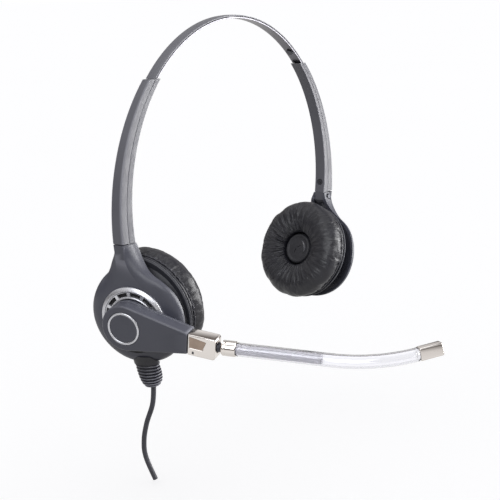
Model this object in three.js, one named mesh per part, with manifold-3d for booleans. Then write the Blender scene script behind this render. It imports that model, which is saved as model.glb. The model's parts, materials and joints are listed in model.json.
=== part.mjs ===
// Over-the-head office headset: a circular spring band, two telescoping arms,
// two pivoting ear cups with round ear cushions, and a swinging boom with a voice tube.
// Millimetres. X runs across the head, -Y is the wearer's front, +Z is up.
// Names say left for -X, the side with the boom, and right for +X, as seen from the front.
// The origin lies on the symmetry plane, at the crown, on the underside of the band where it
// rests on the head. The parts are drawn from the level of the arms' lower ends, which is
// CROWN_Z below that point, and the whole headset is then lowered by CROWN_Z.
import * as THREE from 'three';
import { mergeVertices } from 'three/addons/utils/BufferGeometryUtils.js';
import Module from 'manifold-3d';

const wasm = await Module();
wasm.setup();

// ---- driving dimensions -------------------------------------------------

const ARCH_RADIUS = 86.2;        // radius of the arm centre line
const ARCH_HEIGHT = 11.6;        // height of the arch centre above the arm ends
const ARM_TOP_Z = 72.5;          // level of the arms' upper end faces
const ARM_THICK_TOP = 5.1;
const ARM_THICK_END = 8.95;
const ARM_OUTER_HALF_TOP = 2.2;
const ARM_OUTER_HALF_END = 3.05;
const ARM_INNER_HALF_TOP = 3.1;
const ARM_INNER_HALF_END = 3.0;
const ARM_START_DEG = 41;        // arch angle from the crown, above the upper cut
const ARM_END_DEG = 100;         // arch angle below the lower cut
const ARM_STEPS = 16;

const BAND_HALF_WIDTH = 2.85;
const COVER_LOW = -0.3;          // radial offsets from the arm centre line
const COVER_HIGH = 0.4;
const STRIP_LOW = -1.25;
const STRIP_HIGH = -0.6;
const TONGUE_HALF_WIDTH = 1.7;   // narrow ends of the strip inside the arms
const STRIP_END_DEG = 78;
const STRIP_STEPS = 39;          // same facet angle as the wide part of the band
const CHANNEL_END_DEG = 81;
const CHANNEL_HALF_WIDTH = 2.05;
const BAND_STEPS = 25;           // odd, so that one facet lies level at the crown
const CROWN_HALF_FACET = (Math.PI / 180) * (STRIP_END_DEG / STRIP_STEPS);
const CROWN_Z = ARCH_HEIGHT + (ARCH_RADIUS + STRIP_LOW) * Math.cos(CROWN_HALF_FACET);

const GAP = 0.3;
const JOINT_GAP = 0.65;          // gap between an arm and its ear cup neck

const PIN_X = 83.5;
const PIN_Z = -2.6;
const PIN_RADIUS = 0.9;
const PIN_HEAD_RADIUS = 1.35;
const NECK_HALF_WIDTH = 3.05;     // at the outer face
const NECK_RIM_HALF = 3.5;        // at the inner edge
const FORK_HALF_GAP = 2.85;       // half the width of the slot between the two prongs
const NECK_OUTER = 5.45;         // outer face of the neck above the cup plane
const NECK_INNER = -3.45;        // inner edge of the neck below the cup plane

const CUP_DROP = 32.1;           // cup centre below the pin
const CUP_FORWARD = 2.0;
const CUP_OUTWARD = 0.4;
const CUP_TOE_DEG = 11.5;        // both cups face a little forward on their outer side
const LEFT_TILT_DEG = 10.2;
const RIGHT_TILT_DEG = 15.8;

const RIM_RADIUS = 23.5;
const RIM_DEPTH = -0.5;
const PLATE_RADIUS = 15;
const PLATE_DEPTH = 6.5;
const WALL = 1.5;
const BOSS_RADIUS = 16;
const VENT_COUNT = 12;
const VENT_INNER = 11.7;
const VENT_OUTER = 13.6;
const VENT_ARC_DEG = 23;
const RING_BASE = 6.9;
const HUB_RADIUS = 10.2;
const HUB_TOP = 9.2;

const BALL_RADIUS = 3;
const BALL_DEPTH = -2.9;         // ball centre inward of the cup plane
const SPEAKER_YAW_LEFT_DEG = -12;  // turn of each speaker unit about the cup's up axis
const SPEAKER_YAW_RIGHT_DEG = -4;
const SPEAKER_NOD_LEFT_DEG = 4;   // the face of each unit looks a little upward
const SPEAKER_NOD_RIGHT_DEG = 3.5;
const CUSHION_RADIUS = 25.7;
const CUSHION_HOLE = 8.6;
const BAFFLE_DEPTH = -4.3;       // front face of the speaker housing, inward of the ball centre
const CUSHION_BACK = -5.6;
const CUSHION_FRONT = -18.8;

const BOOM_DROOP_DEG = 10.5;
const BOOM_END_RADIUS = 10.9;
const BOOM_LENGTH = 31.3;
const BOOM_TIP_HALF = 5.2;
const BOOM_BASE = 9.5;
const BOOM_SPLIT = 11.2;
const BOOM_TOP = 17.3;
const INLAY_OUTER = 7.85;
const INLAY_INNER = 6.75;
const MIC_END = 44.8;
const BALL_TUBE_RADIUS = 2.3;
const TUBE_BALL_AT = 44.6;
const MIC_MID_DEPTH = 13.5;

const TUBE_INWARD_DEG = 7.5;
const TUBE_LIFT_DEG = 3.2;
const TUBE_STRAIGHT = 50.3;
const TUBE_ARC = 38;
const TUBE_TURN_DEG = 31;
const TUBE_BEND_PLANE_DEG = 16;
const TUBE_RADIUS = 3.05;
const TUBE_BORE = 2.55;
const METAL_TUBE_RADIUS = 2.25;
const METAL_TUBE_BORE = 1.6;
const METAL_TUBE_END = 46.5;
const FERRULE_START = 1.9;
const FERRULE_END = 8.4;
const FERRULE_RADIUS = 3.5;
const TIP_LENGTH = 10.6;

const BOOT_TOP = -19;
const BOOT_BOTTOM = -34.6;
const BOOT_LEAN = 1.5;            // forward offset of the boot's lower end
const BOOT_RIBS = 8;
const CABLE_RADIUS = 1.2;
const CABLE_DEPTH = 3.3;

const ROUND = 24;                // facets around a full-size round piece

// ---- materials ----------------------------------------------------------

function finish(color, roughness, metalness) {
  return () => new THREE.MeshStandardMaterial({ color, roughness, metalness });
}

const housingPlastic = finish(0x4a4b55, 0.5, 0.05);
const armPlastic = finish(0x55575f, 0.5, 0.05);
const blackPlastic = finish(0x15151a, 0.45, 0.0);
const springSteel = finish(0xa9a6ad, 0.35, 0.9);
const brightChrome = finish(0xd8d4d0, 0.12, 1.0);
const silverPaint = finish(0xc4c6cb, 0.3, 0.8);
const leatherette = finish(0x1b1a20, 0.5, 0.0);
const clearAcrylic = finish(0xe8e8f2, 0.05, 0.0);
const cableRubber = finish(0x2d2e34, 0.6, 0.0);
const darkSteel = finish(0x3a3b40, 0.4, 0.8);

// ---- geometry helpers ---------------------------------------------------

function radians(degrees) {
  return degrees * Math.PI / 180;
}

function mix(a, b, t) {
  return a + (b - a) * t;
}

function smooth(t) {
  const u = Math.min(1, Math.max(0, t));
  return u * u * (3 - 2 * u);
}

function point(x, y, z) {
  return new THREE.Vector3(x, y, z);
}

// Keeps only positions, with shared corners merged.
function weld(geometry) {
  const bare = geometry.clone();
  bare.deleteAttribute('normal');
  bare.deleteAttribute('uv');
  return mergeVertices(bare, 1e-4);
}

function signedVolume(geometry) {
  const p = geometry.attributes.position;
  const index = geometry.index.array;
  const a = new THREE.Vector3();
  const b = new THREE.Vector3();
  const c = new THREE.Vector3();
  let total = 0;
  for (let i = 0; i < index.length; i += 3) {
    a.fromBufferAttribute(p, index[i]);
    b.fromBufferAttribute(p, index[i + 1]);
    c.fromBufferAttribute(p, index[i + 2]);
    total += a.dot(b.cross(c));
  }
  return total;
}

// Welds a closed surface and turns its faces outward.
function closed(geometry) {
  const solid = weld(geometry);
  if (signedVolume(solid) < 0) {
    const index = solid.index.array;
    for (let i = 0; i < index.length; i += 3) {
      [index[i], index[i + 1]] = [index[i + 1], index[i]];
    }
  }
  return solid;
}

function toManifold(geometry) {
  const solid = closed(geometry);
  const vertProperties = new Float32Array(solid.attributes.position.array);
  const triVerts = new Uint32Array(solid.index.array);
  return new wasm.Manifold(new wasm.Mesh({ numProp: 3, vertProperties, triVerts }));
}

function fromManifold(body) {
  const mesh = body.getMesh();
  const geometry = new THREE.BufferGeometry();
  geometry.setAttribute('position', new THREE.BufferAttribute(new Float32Array(mesh.vertProperties), 3));
  geometry.setIndex(new THREE.BufferAttribute(new Uint32Array(mesh.triVerts), 1));
  return geometry;
}

function cut(base, ...tools) {
  const body = tools.reduce((left, tool) => left.subtract(toManifold(tool)), toManifold(base));
  return fromManifold(body);
}

function join(base, ...others) {
  const body = others.reduce((left, other) => left.add(toManifold(other)), toManifold(base));
  return fromManifold(body);
}

function overlap(base, ...others) {
  const body = others.reduce((left, other) => left.intersect(toManifold(other)), toManifold(base));
  return fromManifold(body);
}

// Skins a list of equal rings of points and closes both ends with fans.
function loft(rings, firstCentre, lastCentre) {
  const count = rings[0].length;
  const average = (ring) => ring.reduce((sum, p) => sum.add(p), point(0, 0, 0)).divideScalar(count);
  const centres = [firstCentre ?? average(rings[0]), lastCentre ?? average(rings.at(-1))];
  const corners = [...rings.flat(), ...centres];
  const index = [];
  for (let r = 0; r + 1 < rings.length; r += 1) {
    for (let i = 0; i < count; i += 1) {
      const a = r * count + i;
      const b = r * count + (i + 1) % count;
      index.push(a, b, b + count, a, b + count, a + count);
    }
  }
  const last = (rings.length - 1) * count;
  for (let i = 0; i < count; i += 1) {
    const j = (i + 1) % count;
    index.push(j, i, corners.length - 2);
    index.push(last + i, last + j, corners.length - 1);
  }
  const geometry = new THREE.BufferGeometry().setFromPoints(corners);
  geometry.setIndex(index);
  return closed(geometry);
}

// Turned solid about the local Z axis; the profile lists [radius, height] pairs.
function turned(profile, facets = ROUND) {
  const points = profile.map(([radius, height]) => new THREE.Vector2(radius, height));
  return closed(new THREE.LatheGeometry(points, facets).rotateX(Math.PI / 2));
}

function disc(radius, low, high, facets = ROUND) {
  return turned([[0, low], [radius, low], [radius, high], [0, high]], facets);
}

function washer(inner, outer, low, high, facets = ROUND) {
  return turned([[inner, low], [outer, low], [outer, high], [inner, high], [inner, low]], facets);
}

function block(sizeX, sizeY, sizeZ, x, y, z) {
  return closed(new THREE.BoxGeometry(sizeX, sizeY, sizeZ).translate(x, y, z));
}

// Straight prism of a closed outline between two heights.
function prism(outline, low, high, curveSegments = 8) {
  const shape = outline instanceof THREE.Shape ? outline : new THREE.Shape(outline);
  const options = { depth: high - low, bevelEnabled: false, curveSegments };
  return closed(new THREE.ExtrudeGeometry(shape, options).translate(0, 0, low));
}

function mirrored(geometry) {
  return closed(geometry.clone().scale(-1, 1, 1));
}

function piece(name, geometry, material) {
  const mesh = new THREE.Mesh(geometry, material());
  mesh.name = name;
  return mesh;
}

// ---- arch: band and arms --------------------------------------------------

// Point on the arch: radial offset from the arm centre line, fore-aft offset, angle from the crown.
function onArch(offset, y, angle) {
  const radius = ARCH_RADIUS + offset;
  return point(radius * Math.sin(angle), y, ARCH_HEIGHT + radius * Math.cos(angle));
}

function archSweep(sectionAt, fromDeg, toDeg, steps) {
  const rings = [];
  for (let i = 0; i <= steps; i += 1) {
    const t = i / steps;
    const angle = radians(mix(fromDeg, toDeg, t));
    rings.push(sectionAt(t).map(([offset, y]) => onArch(offset, y, angle)));
  }
  return loft(rings);
}

function rectangle(low, high, halfWidth) {
  return [[low, -halfWidth], [high, -halfWidth], [high, halfWidth], [low, halfWidth]];
}

function crownedSection(low, high, halfWidth, corner) {
  return [
    [low, -halfWidth], [high - corner, -halfWidth], [high, corner - halfWidth],
    [high, halfWidth - corner], [high - corner, halfWidth], [low, halfWidth],
  ];
}

function bandCover() {
  const corner = 0.3;
  const full = archSweep(() => crownedSection(COVER_LOW, COVER_HIGH, BAND_HALF_WIDTH, corner), -50, 50, BAND_STEPS);
  const keepAbove = block(200, 20, 60, 0, 0, ARM_TOP_Z + 2 * GAP + 30);
  return cut(overlap(full, keepAbove), ...rivetBores());
}

function bandStrip() {
  const wide = archSweep(() => rectangle(STRIP_LOW, STRIP_HIGH, BAND_HALF_WIDTH), -50, 50, BAND_STEPS);
  const keepAbove = block(200, 20, 60, 0, 0, ARM_TOP_Z + 2 * GAP + 30);
  const tongues = archSweep(
    () => rectangle(STRIP_LOW, STRIP_HIGH, TONGUE_HALF_WIDTH), -STRIP_END_DEG, STRIP_END_DEG, STRIP_STEPS);
  return cut(join(overlap(wide, keepAbove), tongues), ...rivetBores());
}

const RIVET_ANGLE_DEG = 39;
const RIVET_RADIUS = 0.9;

// Places a piece built along local Z so that Z points outward from the arch.
function radialOnArch(geometry, angleDeg) {
  const angle = radians(angleDeg);
  return geometry.clone().rotateY(angle).translate(
    ARCH_RADIUS * Math.sin(angle), 0, ARCH_HEIGHT + ARCH_RADIUS * Math.cos(angle));
}

function rivetBores() {
  const bore = disc(RIVET_RADIUS + GAP, -3, 3, 12);
  return [-RIVET_ANGLE_DEG, RIVET_ANGLE_DEG].map((angle) => radialOnArch(bore, angle));
}

function rivet(side) {
  const head = RIVET_RADIUS + 0.9;
  const profile = [
    [0, STRIP_LOW - 0.75], [head, STRIP_LOW - 0.75], [head, STRIP_LOW - GAP], [RIVET_RADIUS, STRIP_LOW - GAP],
    [RIVET_RADIUS, COVER_HIGH - 0.1], [0, COVER_HIGH - 0.1],
  ];
  return radialOnArch(turned(profile, 12), side * RIVET_ANGLE_DEG);
}

function armHalfWidth(t, offset) {
  const thickness = mix(ARM_THICK_TOP, ARM_THICK_END, t);
  const outer = mix(ARM_OUTER_HALF_TOP, ARM_OUTER_HALF_END, t);
  const inner = mix(ARM_INNER_HALF_TOP, ARM_INNER_HALF_END, t);
  return mix(inner, outer, (offset + thickness / 2) / thickness);
}

function armOuterSection(t) {
  const low = COVER_LOW;
  const high = mix(ARM_THICK_TOP, ARM_THICK_END, t) / 2;
  const corner = mix(0.7, 0.9, t);
  const shoulder = armHalfWidth(t, high - corner);
  const top = armHalfWidth(t, high) - corner;
  const foot = armHalfWidth(t, low);
  return [[low, -foot], [high - corner, -shoulder], [high, -top], [high, top], [high - corner, shoulder], [low, foot]];
}

function armInnerSection(t) {
  const high = -0.5;
  const low = -mix(ARM_THICK_TOP, ARM_THICK_END, t) / 2;
  const corner = 0.35;
  const foot = armHalfWidth(t, low);
  const shoulder = armHalfWidth(t, low + corner);
  const top = armHalfWidth(t, high);
  return [
    [high, -top], [low + corner, -shoulder], [low, corner - foot],
    [low, foot - corner], [low + corner, shoulder], [high, top],
  ];
}

function armEnds() {
  const above = block(200, 20, 60, 0, 0, ARM_TOP_Z + 30);
  const below = block(200, 20, 60, 0, 0, -30);
  return [above, below];
}

function bandChannel() {
  const section = () => rectangle(STRIP_LOW - GAP, 0, CHANNEL_HALF_WIDTH);
  return archSweep(section, ARM_START_DEG - 4, CHANNEL_END_DEG, 14);
}

const ARM_SCREW_Z = 5.2;

// Line through the arm along local X at the height of its screw.
function armScrewAt(geometry) {
  const x = Math.sqrt(ARCH_RADIUS ** 2 - (ARM_SCREW_Z - ARCH_HEIGHT) ** 2);
  return geometry.clone().rotateY(-Math.PI / 2).translate(x, 0, ARM_SCREW_Z);
}

function armOuterShell() {
  const body = archSweep(armOuterSection, ARM_START_DEG, ARM_END_DEG, ARM_STEPS);
  return cut(body, ...armEnds(), armScrewAt(disc(0.75 + GAP, -2.8, 3, 12)));
}

function armInnerShell() {
  const body = archSweep(armInnerSection, ARM_START_DEG, ARM_END_DEG, ARM_STEPS);
  const screwWay = armScrewAt(join(disc(0.75 + GAP, -3, 6, 12), disc(1.4 + GAP, 3.1, 6, 16)));
  const tenonPocket = block(2.1 + 2 * GAP, 2.4 + 2 * GAP, 6.4, PIN_X - 0.3, 0, 0.2);
  return cut(body, ...armEnds(), bandChannel(), screwWay, tenonPocket);
}

function armScrew() {
  const profile = [[0, -2.3], [0.75, -2.3], [0.75, 3.1 + GAP], [1.4, 3.1 + GAP], [1.4, 4.0], [0, 4.0]];
  const slot = block(0.4, 1.9, 0.8, 0, 0, 4.1);
  const crossSlot = block(1.9, 0.4, 0.8, 0, 0, 4.1);
  return armScrewAt(cut(turned(profile, 16), slot, crossSlot));
}

// ---- hinge between arm and cup ---------------------------------------------

const HINGE_HALF_WIDTH = FORK_HALF_GAP - GAP;
const PIN_HALF_LENGTH = NECK_RIM_HALF + 0.6;
const HINGE_BOTTOM_Z = -5.9;

function pinBore(radius, halfLength, facets = 16) {
  return disc(radius, -halfLength, halfLength, facets).rotateX(Math.PI / 2).translate(PIN_X, 0, PIN_Z);
}

function hingeBlock() {
  const inner = PIN_X - 2.9;
  const outer = PIN_X + 2.2;
  const top = -GAP;
  const outline = [
    new THREE.Vector2(inner, top), new THREE.Vector2(inner, HINGE_BOTTOM_Z + 1.4),
    new THREE.Vector2(inner + 1.2, HINGE_BOTTOM_Z), new THREE.Vector2(outer - 1.2, HINGE_BOTTOM_Z),
    new THREE.Vector2(outer, HINGE_BOTTOM_Z + 1.4), new THREE.Vector2(outer, top),
  ];
  const body = prism(outline, -HINGE_HALF_WIDTH, HINGE_HALF_WIDTH).rotateX(Math.PI / 2);
  const tenon = block(2.1, 2.4, 4, PIN_X - 0.3, 0, 0.8);
  return cut(join(body, tenon), pinBore(PIN_RADIUS + GAP, 5));
}

function pivotPin() {
  const half = PIN_HALF_LENGTH;
  const profile = [
    [0, -half - 0.7], [PIN_HEAD_RADIUS, -half - 0.7], [PIN_HEAD_RADIUS, -half], [PIN_RADIUS, -half],
    [PIN_RADIUS, half], [PIN_HEAD_RADIUS, half], [PIN_HEAD_RADIUS, half + 0.7], [0, half + 0.7],
  ];
  return turned(profile, 16).rotateX(Math.PI / 2).translate(PIN_X, 0, PIN_Z);
}

// ---- ear cup shell -----------------------------------------------------------
// Cup pieces are drawn in the cup plane: x forward, y up, z outward, origin at the cup centre.

const PIN_HEIGHT = CUP_DROP;
const NECK_TOP = 38;

// Half outline from the neck down to the lowest point, as [half width, height] pairs.
function cupSide(neckHalf, swell, neckStart, radius, tangentDeg, pull) {
  const angle = radians(tangentDeg);
  const shoulder = new THREE.Vector2(radius * Math.cos(angle), radius * Math.sin(angle));
  const lean = new THREE.Vector2(-Math.sin(angle), Math.cos(angle)).multiplyScalar(pull);
  const flare = new THREE.CubicBezierCurve(
    new THREE.Vector2(neckHalf, neckStart), new THREE.Vector2(neckHalf + swell, neckStart - pull),
    shoulder.clone().add(lean), shoulder);
  const side = [new THREE.Vector2(neckHalf, NECK_TOP), ...flare.getPoints(6)];
  const arcSteps = 10;
  for (let i = 1; i <= arcSteps; i += 1) {
    const a = mix(angle, -Math.PI / 2, i / arcSteps);
    side.push(new THREE.Vector2(radius * Math.cos(a), radius * Math.sin(a)));
  }
  return side;
}

// The neck lies a little behind the cup centre and faces straight out, so the upper part
// shifts back and turns by the toe angle.
function settleNeck(p) {
  const t = smooth((p.y - 10) / 20);
  const turn = radians(CUP_TOE_DEG) * t;
  const shifted = p.x - CUP_FORWARD * t;
  const x = shifted * Math.cos(turn) - p.z * Math.sin(turn);
  const z = shifted * Math.sin(turn) + p.z * Math.cos(turn);
  return point(x, p.y, z);
}

function outlineRing(side, depthAt) {
  const front = side.map((q) => point(q.x, q.y, depthAt(q.y)));
  const back = side.slice(0, -1).reverse().map((q) => point(-q.x, q.y, depthAt(q.y)));
  return [...front, ...back];
}

function plateDepth(y, inset) {
  return mix(PLATE_DEPTH, NECK_OUTER, smooth((y - 12) / 24)) - inset;
}

function rimDepth(y) {
  return mix(RIM_DEPTH, NECK_INNER, smooth((y - 25.5) / 5));
}

// Bowl between the flat plate and the open rim; inset shrinks it for the cavity.
function cupBody(inset, sideInset, openPast) {
  const plateNeck = NECK_HALF_WIDTH - 0.45 - sideInset;
  const plate = cupSide(plateNeck, 0, 29 - inset, PLATE_RADIUS - inset, 30, 8);
  const rim = cupSide(NECK_RIM_HALF - sideInset, 2.4, 37 - inset, RIM_RADIUS - inset, 56, 6);
  const lip = cupSide(NECK_RIM_HALF - 0.2 - sideInset, 0.7, 35 - inset, RIM_RADIUS - inset, 56, 6);
  const rings = [];
  const layers = 3;
  for (let k = 0; k <= layers; k += 1) {
    const theta = mix(radians(14), Math.PI / 2, k / layers);
    const start = Math.sin(radians(14));
    const spread = Math.sqrt((Math.sin(theta) - start) / (1 - start));
    const drop = 1 - Math.cos(theta);
    const widest = k === layers ? lip : rim;
    const side = plate.map((q, i) => q.clone().lerp(widest[i], spread));
    rings.push(outlineRing(side, (y) => mix(plateDepth(y, inset), rimDepth(y), k === 0 ? 0 : drop)));
  }
  if (openPast > 0) {
    rings.push(outlineRing(lip, (y) => rimDepth(y) - openPast));
  }
  const settled = rings.map((ring) => ring.map(settleNeck));
  return loft(settled, settleNeck(point(0, 0, PLATE_DEPTH - inset)), settleNeck(point(0, 0, RIM_DEPTH - openPast)));
}

// Features of the hinge stay square to the arm, so they turn back by the toe angle.
function squareToArm(geometry) {
  return closed(geometry.clone().rotateY(-radians(CUP_TOE_DEG)));
}

// Level cut that leaves the joint gap under the arm; the cup plane leans by the left cup's tilt.
function neckTopCutter() {
  const lean = radians(LEFT_TILT_DEG);
  const cutter = new THREE.BoxGeometry(40, 20, 40).translate(0, 10, 0).rotateX(-lean);
  const below = -PIN_Z - JOINT_GAP;
  return squareToArm(cutter.translate(
    -CUP_FORWARD, PIN_HEIGHT + below * Math.cos(lean), -CUP_OUTWARD - below * Math.sin(lean)));
}

function ventSlots(low, high) {
  return Array.from({ length: VENT_COUNT }, (_, i) => {
    const shape = new THREE.Shape();
    const middle = (i + 0.5) * 2 * Math.PI / VENT_COUNT;
    const half = radians(VENT_ARC_DEG) / 2;
    shape.absarc(0, 0, VENT_OUTER, middle - half, middle + half, false);
    shape.absarc(0, 0, VENT_INNER, middle + half, middle - half, true);
    return prism(shape, low, high, 2);
  });
}

// Through bore for the pin with a counterbore for each of its heads.
function cupPinBore() {
  const heads = PIN_HEAD_RADIUS + GAP;
  const front = disc(heads, PIN_HALF_LENGTH - GAP, 9, 16);
  const back = disc(heads, -9, GAP - PIN_HALF_LENGTH, 16);
  const bore = join(disc(PIN_RADIUS + GAP, -8, 8, 16), front, back).rotateY(Math.PI / 2);
  return squareToArm(bore.translate(-CUP_FORWARD, PIN_HEIGHT, -CUP_OUTWARD));
}

// Straight-sided slot in the neck that takes the hinge block.
function hingeSlot() {
  return squareToArm(block(2 * FORK_HALF_GAP, 14, 12, -CUP_FORWARD, 33, NECK_OUTER - WALL - 6));
}

function cupShell() {
  const boss = disc(BOSS_RADIUS, 1.5, PLATE_DEPTH + 0.1, 30);
  const bossRoom = disc(BOSS_RADIUS - WALL, -2, PLATE_DEPTH - WALL, 30);
  const outer = join(cupBody(0, 0, 0), boss);
  const centreHole = disc(2.6 + GAP, 0, 10, 20);
  return cut(
    outer, cupBody(WALL, WALL, 3), bossRoom, hingeSlot(), neckTopCutter(), cupPinBore(),
    centreHole, ...ventSlots(0, 10));
}

function ventRing() {
  const profile = [
    [10.6, RING_BASE], [BOSS_RADIUS, RING_BASE], [BOSS_RADIUS, RING_BASE + 0.5], [14.1, RING_BASE + 1.5],
    [13.8, RING_BASE + 1.1], [11.3, RING_BASE + 1.1], [11.1, RING_BASE + 1.5], [10.6, RING_BASE + 1.4],
    [10.6, RING_BASE],
  ];
  return cut(turned(profile, 30), ...ventSlots(0, 12));
}

function hubDisc() {
  return washer(2.6 + GAP, HUB_RADIUS, RING_BASE, HUB_TOP, 24);
}

// Plain cap in place of the boom on the other cup: a domed disc with a pin on its axis.
function cupCap() {
  const profile = [
    [0, 3.6], [2.6, 3.6], [2.6, RING_BASE], [HUB_RADIUS, RING_BASE], [HUB_RADIUS, 8.2],
    [HUB_RADIUS - 0.8, 9], [0, 9],
  ];
  return turned(profile, 36);
}

function axleWasher() {
  return washer(2.6 + GAP, 5, 3.9, 4.6, 24);
}

// ---- speaker unit ---------------------------------------------------------------

// Half circle of a ball from its neck round to the pole, as [radius, height] pairs.
function ballProfile(ballRadius, neck, centre) {
  const steps = 6;
  const profile = Array.from({ length: steps }, (_, i) => {
    const a = mix(Math.acos(neck / ballRadius), -Math.PI / 2, i / steps);
    return [ballRadius * Math.cos(a), centre + ballRadius * Math.sin(a)];
  });
  return [...profile, [0, centre - ballRadius]];
}

// Bracket screwed to the inside of the plate; it carries the ball the speaker unit turns on.
function ballBracket() {
  const flangeTop = PLATE_DEPTH - WALL - GAP;
  const neck = 1.5;
  const profile = [
    [0, 3.0], [5.6, 3.0], [5.6, flangeTop], [8.4, flangeTop], [8.4, flangeTop - 0.9], [6.2, 2.3],
    [2.6, 2.0], [neck, 0.6], ...ballProfile(BALL_RADIUS, neck, BALL_DEPTH),
  ];
  return turned(profile, 16);
}

// Pieces of the speaker unit are drawn from the ball centre.
function speakerHousing() {
  const backPlate = 1.8;
  const innerFace = backPlate - 1.2;
  const profile = [
    [2.3, backPlate], [14, backPlate], [17.4, backPlate - 1.3], [20.4, -1.8], [22.7, -3.5],
    [22.7, BAFFLE_DEPTH], [21, BAFFLE_DEPTH], [16.6, -0.2], [13.6, innerFace], [5.4, innerFace],
    [5.4, -4.0], [2.3, -4.0], [2.3, backPlate],
  ];
  const socket = new THREE.SphereGeometry(BALL_RADIUS + 0.35, 16, 10);
  return cut(turned(profile, 28), closed(socket));
}

function cushionRing() {
  const face = BAFFLE_DEPTH - GAP;
  return turned([[10, face - 0.7], [24, face - 0.7], [24, face], [10, face], [10, face - 0.7]], 28);
}

function driver() {
  const front = BAFFLE_DEPTH - 3.6;
  const profile = [
    [0, -4.3], [6, -4.3], [8.2, BAFFLE_DEPTH - 0.8], [8.2, front], [0, front],
  ];
  return turned(profile, 20);
}

function speakerGrille() {
  const back = BAFFLE_DEPTH - 3.9;
  const profile = [
    [0, back], [8.2, back], [8.2, back - 1.2], [7, back - 1.8], [6.5, back - 1.2], [0, back - 1.6],
  ];
  const slot = block(0.5, 3.2, 1.2, 1.2, 0, back - 1.7);
  return cut(turned(profile, 20), slot.rotateZ(radians(35)));
}

// Ring cushion: flat back, full outer roll, gently dished face and a round hole.
function earCushion() {
  const mid = (CUSHION_BACK + CUSHION_FRONT) / 2;
  const curve = new THREE.CatmullRomCurve3([
    point(24.2, CUSHION_BACK - 0.2, 0), point(CUSHION_RADIUS - 0.4, mid + 3.2, 0),
    point(CUSHION_RADIUS, mid - 0.6, 0), point(CUSHION_RADIUS - 2.4, CUSHION_FRONT + 1.9, 0),
    point(18.6, CUSHION_FRONT, 0), point(11.6, CUSHION_FRONT + 0.9, 0), point(9.1, CUSHION_FRONT + 3.0, 0),
    point(CUSHION_HOLE, mid, 0), point(CUSHION_HOLE + 0.4, CUSHION_BACK, 0),
  ]);
  const profile = curve.getPoints(12).map((p) => [p.x, p.y]);
  profile.push(profile[0]);
  return turned(profile, 26);
}

// ---- boom -----------------------------------------------------------------------
// Boom pieces: x along the boom from its pivot, y up, z outward.

function boomOutline(inset) {
  const radius = BOOM_END_RADIUS - inset;
  const tipHalf = BOOM_TIP_HALF - inset;
  const length = BOOM_LENGTH - inset;
  const taper = Math.asin((radius - tipHalf) / length);
  const start = Math.PI / 2 - taper;
  const shape = new THREE.Shape();
  shape.absarc(0, 0, radius, start, 2 * Math.PI - start, false);
  shape.lineTo(length, -tipHalf);
  shape.lineTo(length, tipHalf);
  return shape;
}

function boomInnerHousing() {
  const plate = prism(boomOutline(0), BOOM_BASE, BOOM_SPLIT - GAP, 16);
  return cut(plate, disc(2.6 + GAP, 0, 20, 20));
}

function boomOuterHousing() {
  const lower = prism(boomOutline(0), BOOM_SPLIT, BOOM_TOP - 0.5, 16);
  const upper = prism(boomOutline(0.35), BOOM_SPLIT + 1, BOOM_TOP, 16);
  const room = prism(boomOutline(1.6), BOOM_SPLIT - 1, BOOM_TOP - 1.6, 16);
  const recess = disc(INLAY_OUTER + 0.2, BOOM_TOP - 0.8, BOOM_TOP + 1, 32);
  return cut(join(lower, upper), room, recess);
}

function boomInlay() {
  const base = BOOM_TOP - 0.5;
  const profile = [
    [INLAY_INNER, base], [INLAY_OUTER, base], [INLAY_OUTER, BOOM_TOP + 0.05], [7.3, BOOM_TOP + 0.3],
    [INLAY_INNER, BOOM_TOP + 0.05], [INLAY_INNER, base],
  ];
  return turned(profile, 32);
}

function boomCap() {
  return disc(INLAY_INNER - 0.25, BOOM_TOP - 0.5, BOOM_TOP - 0.05, 28);
}

function boomAxle() {
  const profile = [
    [0, 3.6], [2.6, 3.6], [2.6, BOOM_SPLIT + 0.2], [4.4, BOOM_SPLIT + 0.2], [4.4, BOOM_SPLIT + 1.4],
    [2.4, BOOM_SPLIT + 2.2], [0, BOOM_SPLIT + 2.2],
  ];
  return turned(profile, 24);
}

function roundedBlock(x0, x1, y0, y1, corners) {
  const [c00, c10, c11, c01] = corners;
  const shape = new THREE.Shape();
  shape.moveTo(x0 + c00, y0);
  shape.lineTo(x1 - c10, y0);
  shape.absarc(x1 - c10, y0 + c10, c10, -Math.PI / 2, 0, false);
  shape.lineTo(x1, y1 - c11);
  shape.absarc(x1 - c11, y1 - c11, c11, 0, Math.PI / 2, false);
  shape.lineTo(x0 + c01, y1);
  shape.lineTo(x0, y1 - c01);
  shape.lineTo(x0, y0 + c00);
  return shape;
}

function micHousing() {
  const start = BOOM_LENGTH + GAP;
  const plan = prism(roundedBlock(start, MIC_END, -5.2, 4.9, [0.01, 1.3, 1.1, 0.01]), 0, 30, 5);
  const elevation = prism(roundedBlock(start, MIC_END, BOOM_BASE + 0.2, BOOM_TOP, [0.01, 2.2, 3.2, 0.01]), -9, 9, 6);
  elevation.rotateX(Math.PI / 2);
  const bevel = new THREE.BoxGeometry(40, 6, 6).rotateX(radians(38)).translate(start + 10, 7.9, BOOM_TOP + 0.6);
  const windowRecess = prism([
    new THREE.Vector2(start + 1.3, -1.6), new THREE.Vector2(start + 7.2, -1.6),
    new THREE.Vector2(start + 8.4, 2.1), new THREE.Vector2(start + 1.3, 2.9),
  ], BOOM_TOP - 0.35, BOOM_TOP + 2);
  const notch = block(1.0, 1.3, 2, start + 2.7, -3.6, BOOM_TOP);
  const chamber = block(9, 7, 4.6, start + 3.4, 0, MIC_MID_DEPTH - 0.2);
  const socket = new THREE.SphereGeometry(BALL_TUBE_RADIUS + 0.35, 14, 8)
    .translate(TUBE_BALL_AT, 0, MIC_MID_DEPTH);
  return cut(
    overlap(plan, closed(elevation)), closed(bevel), windowRecess, notch, chamber, closed(socket));
}

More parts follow.
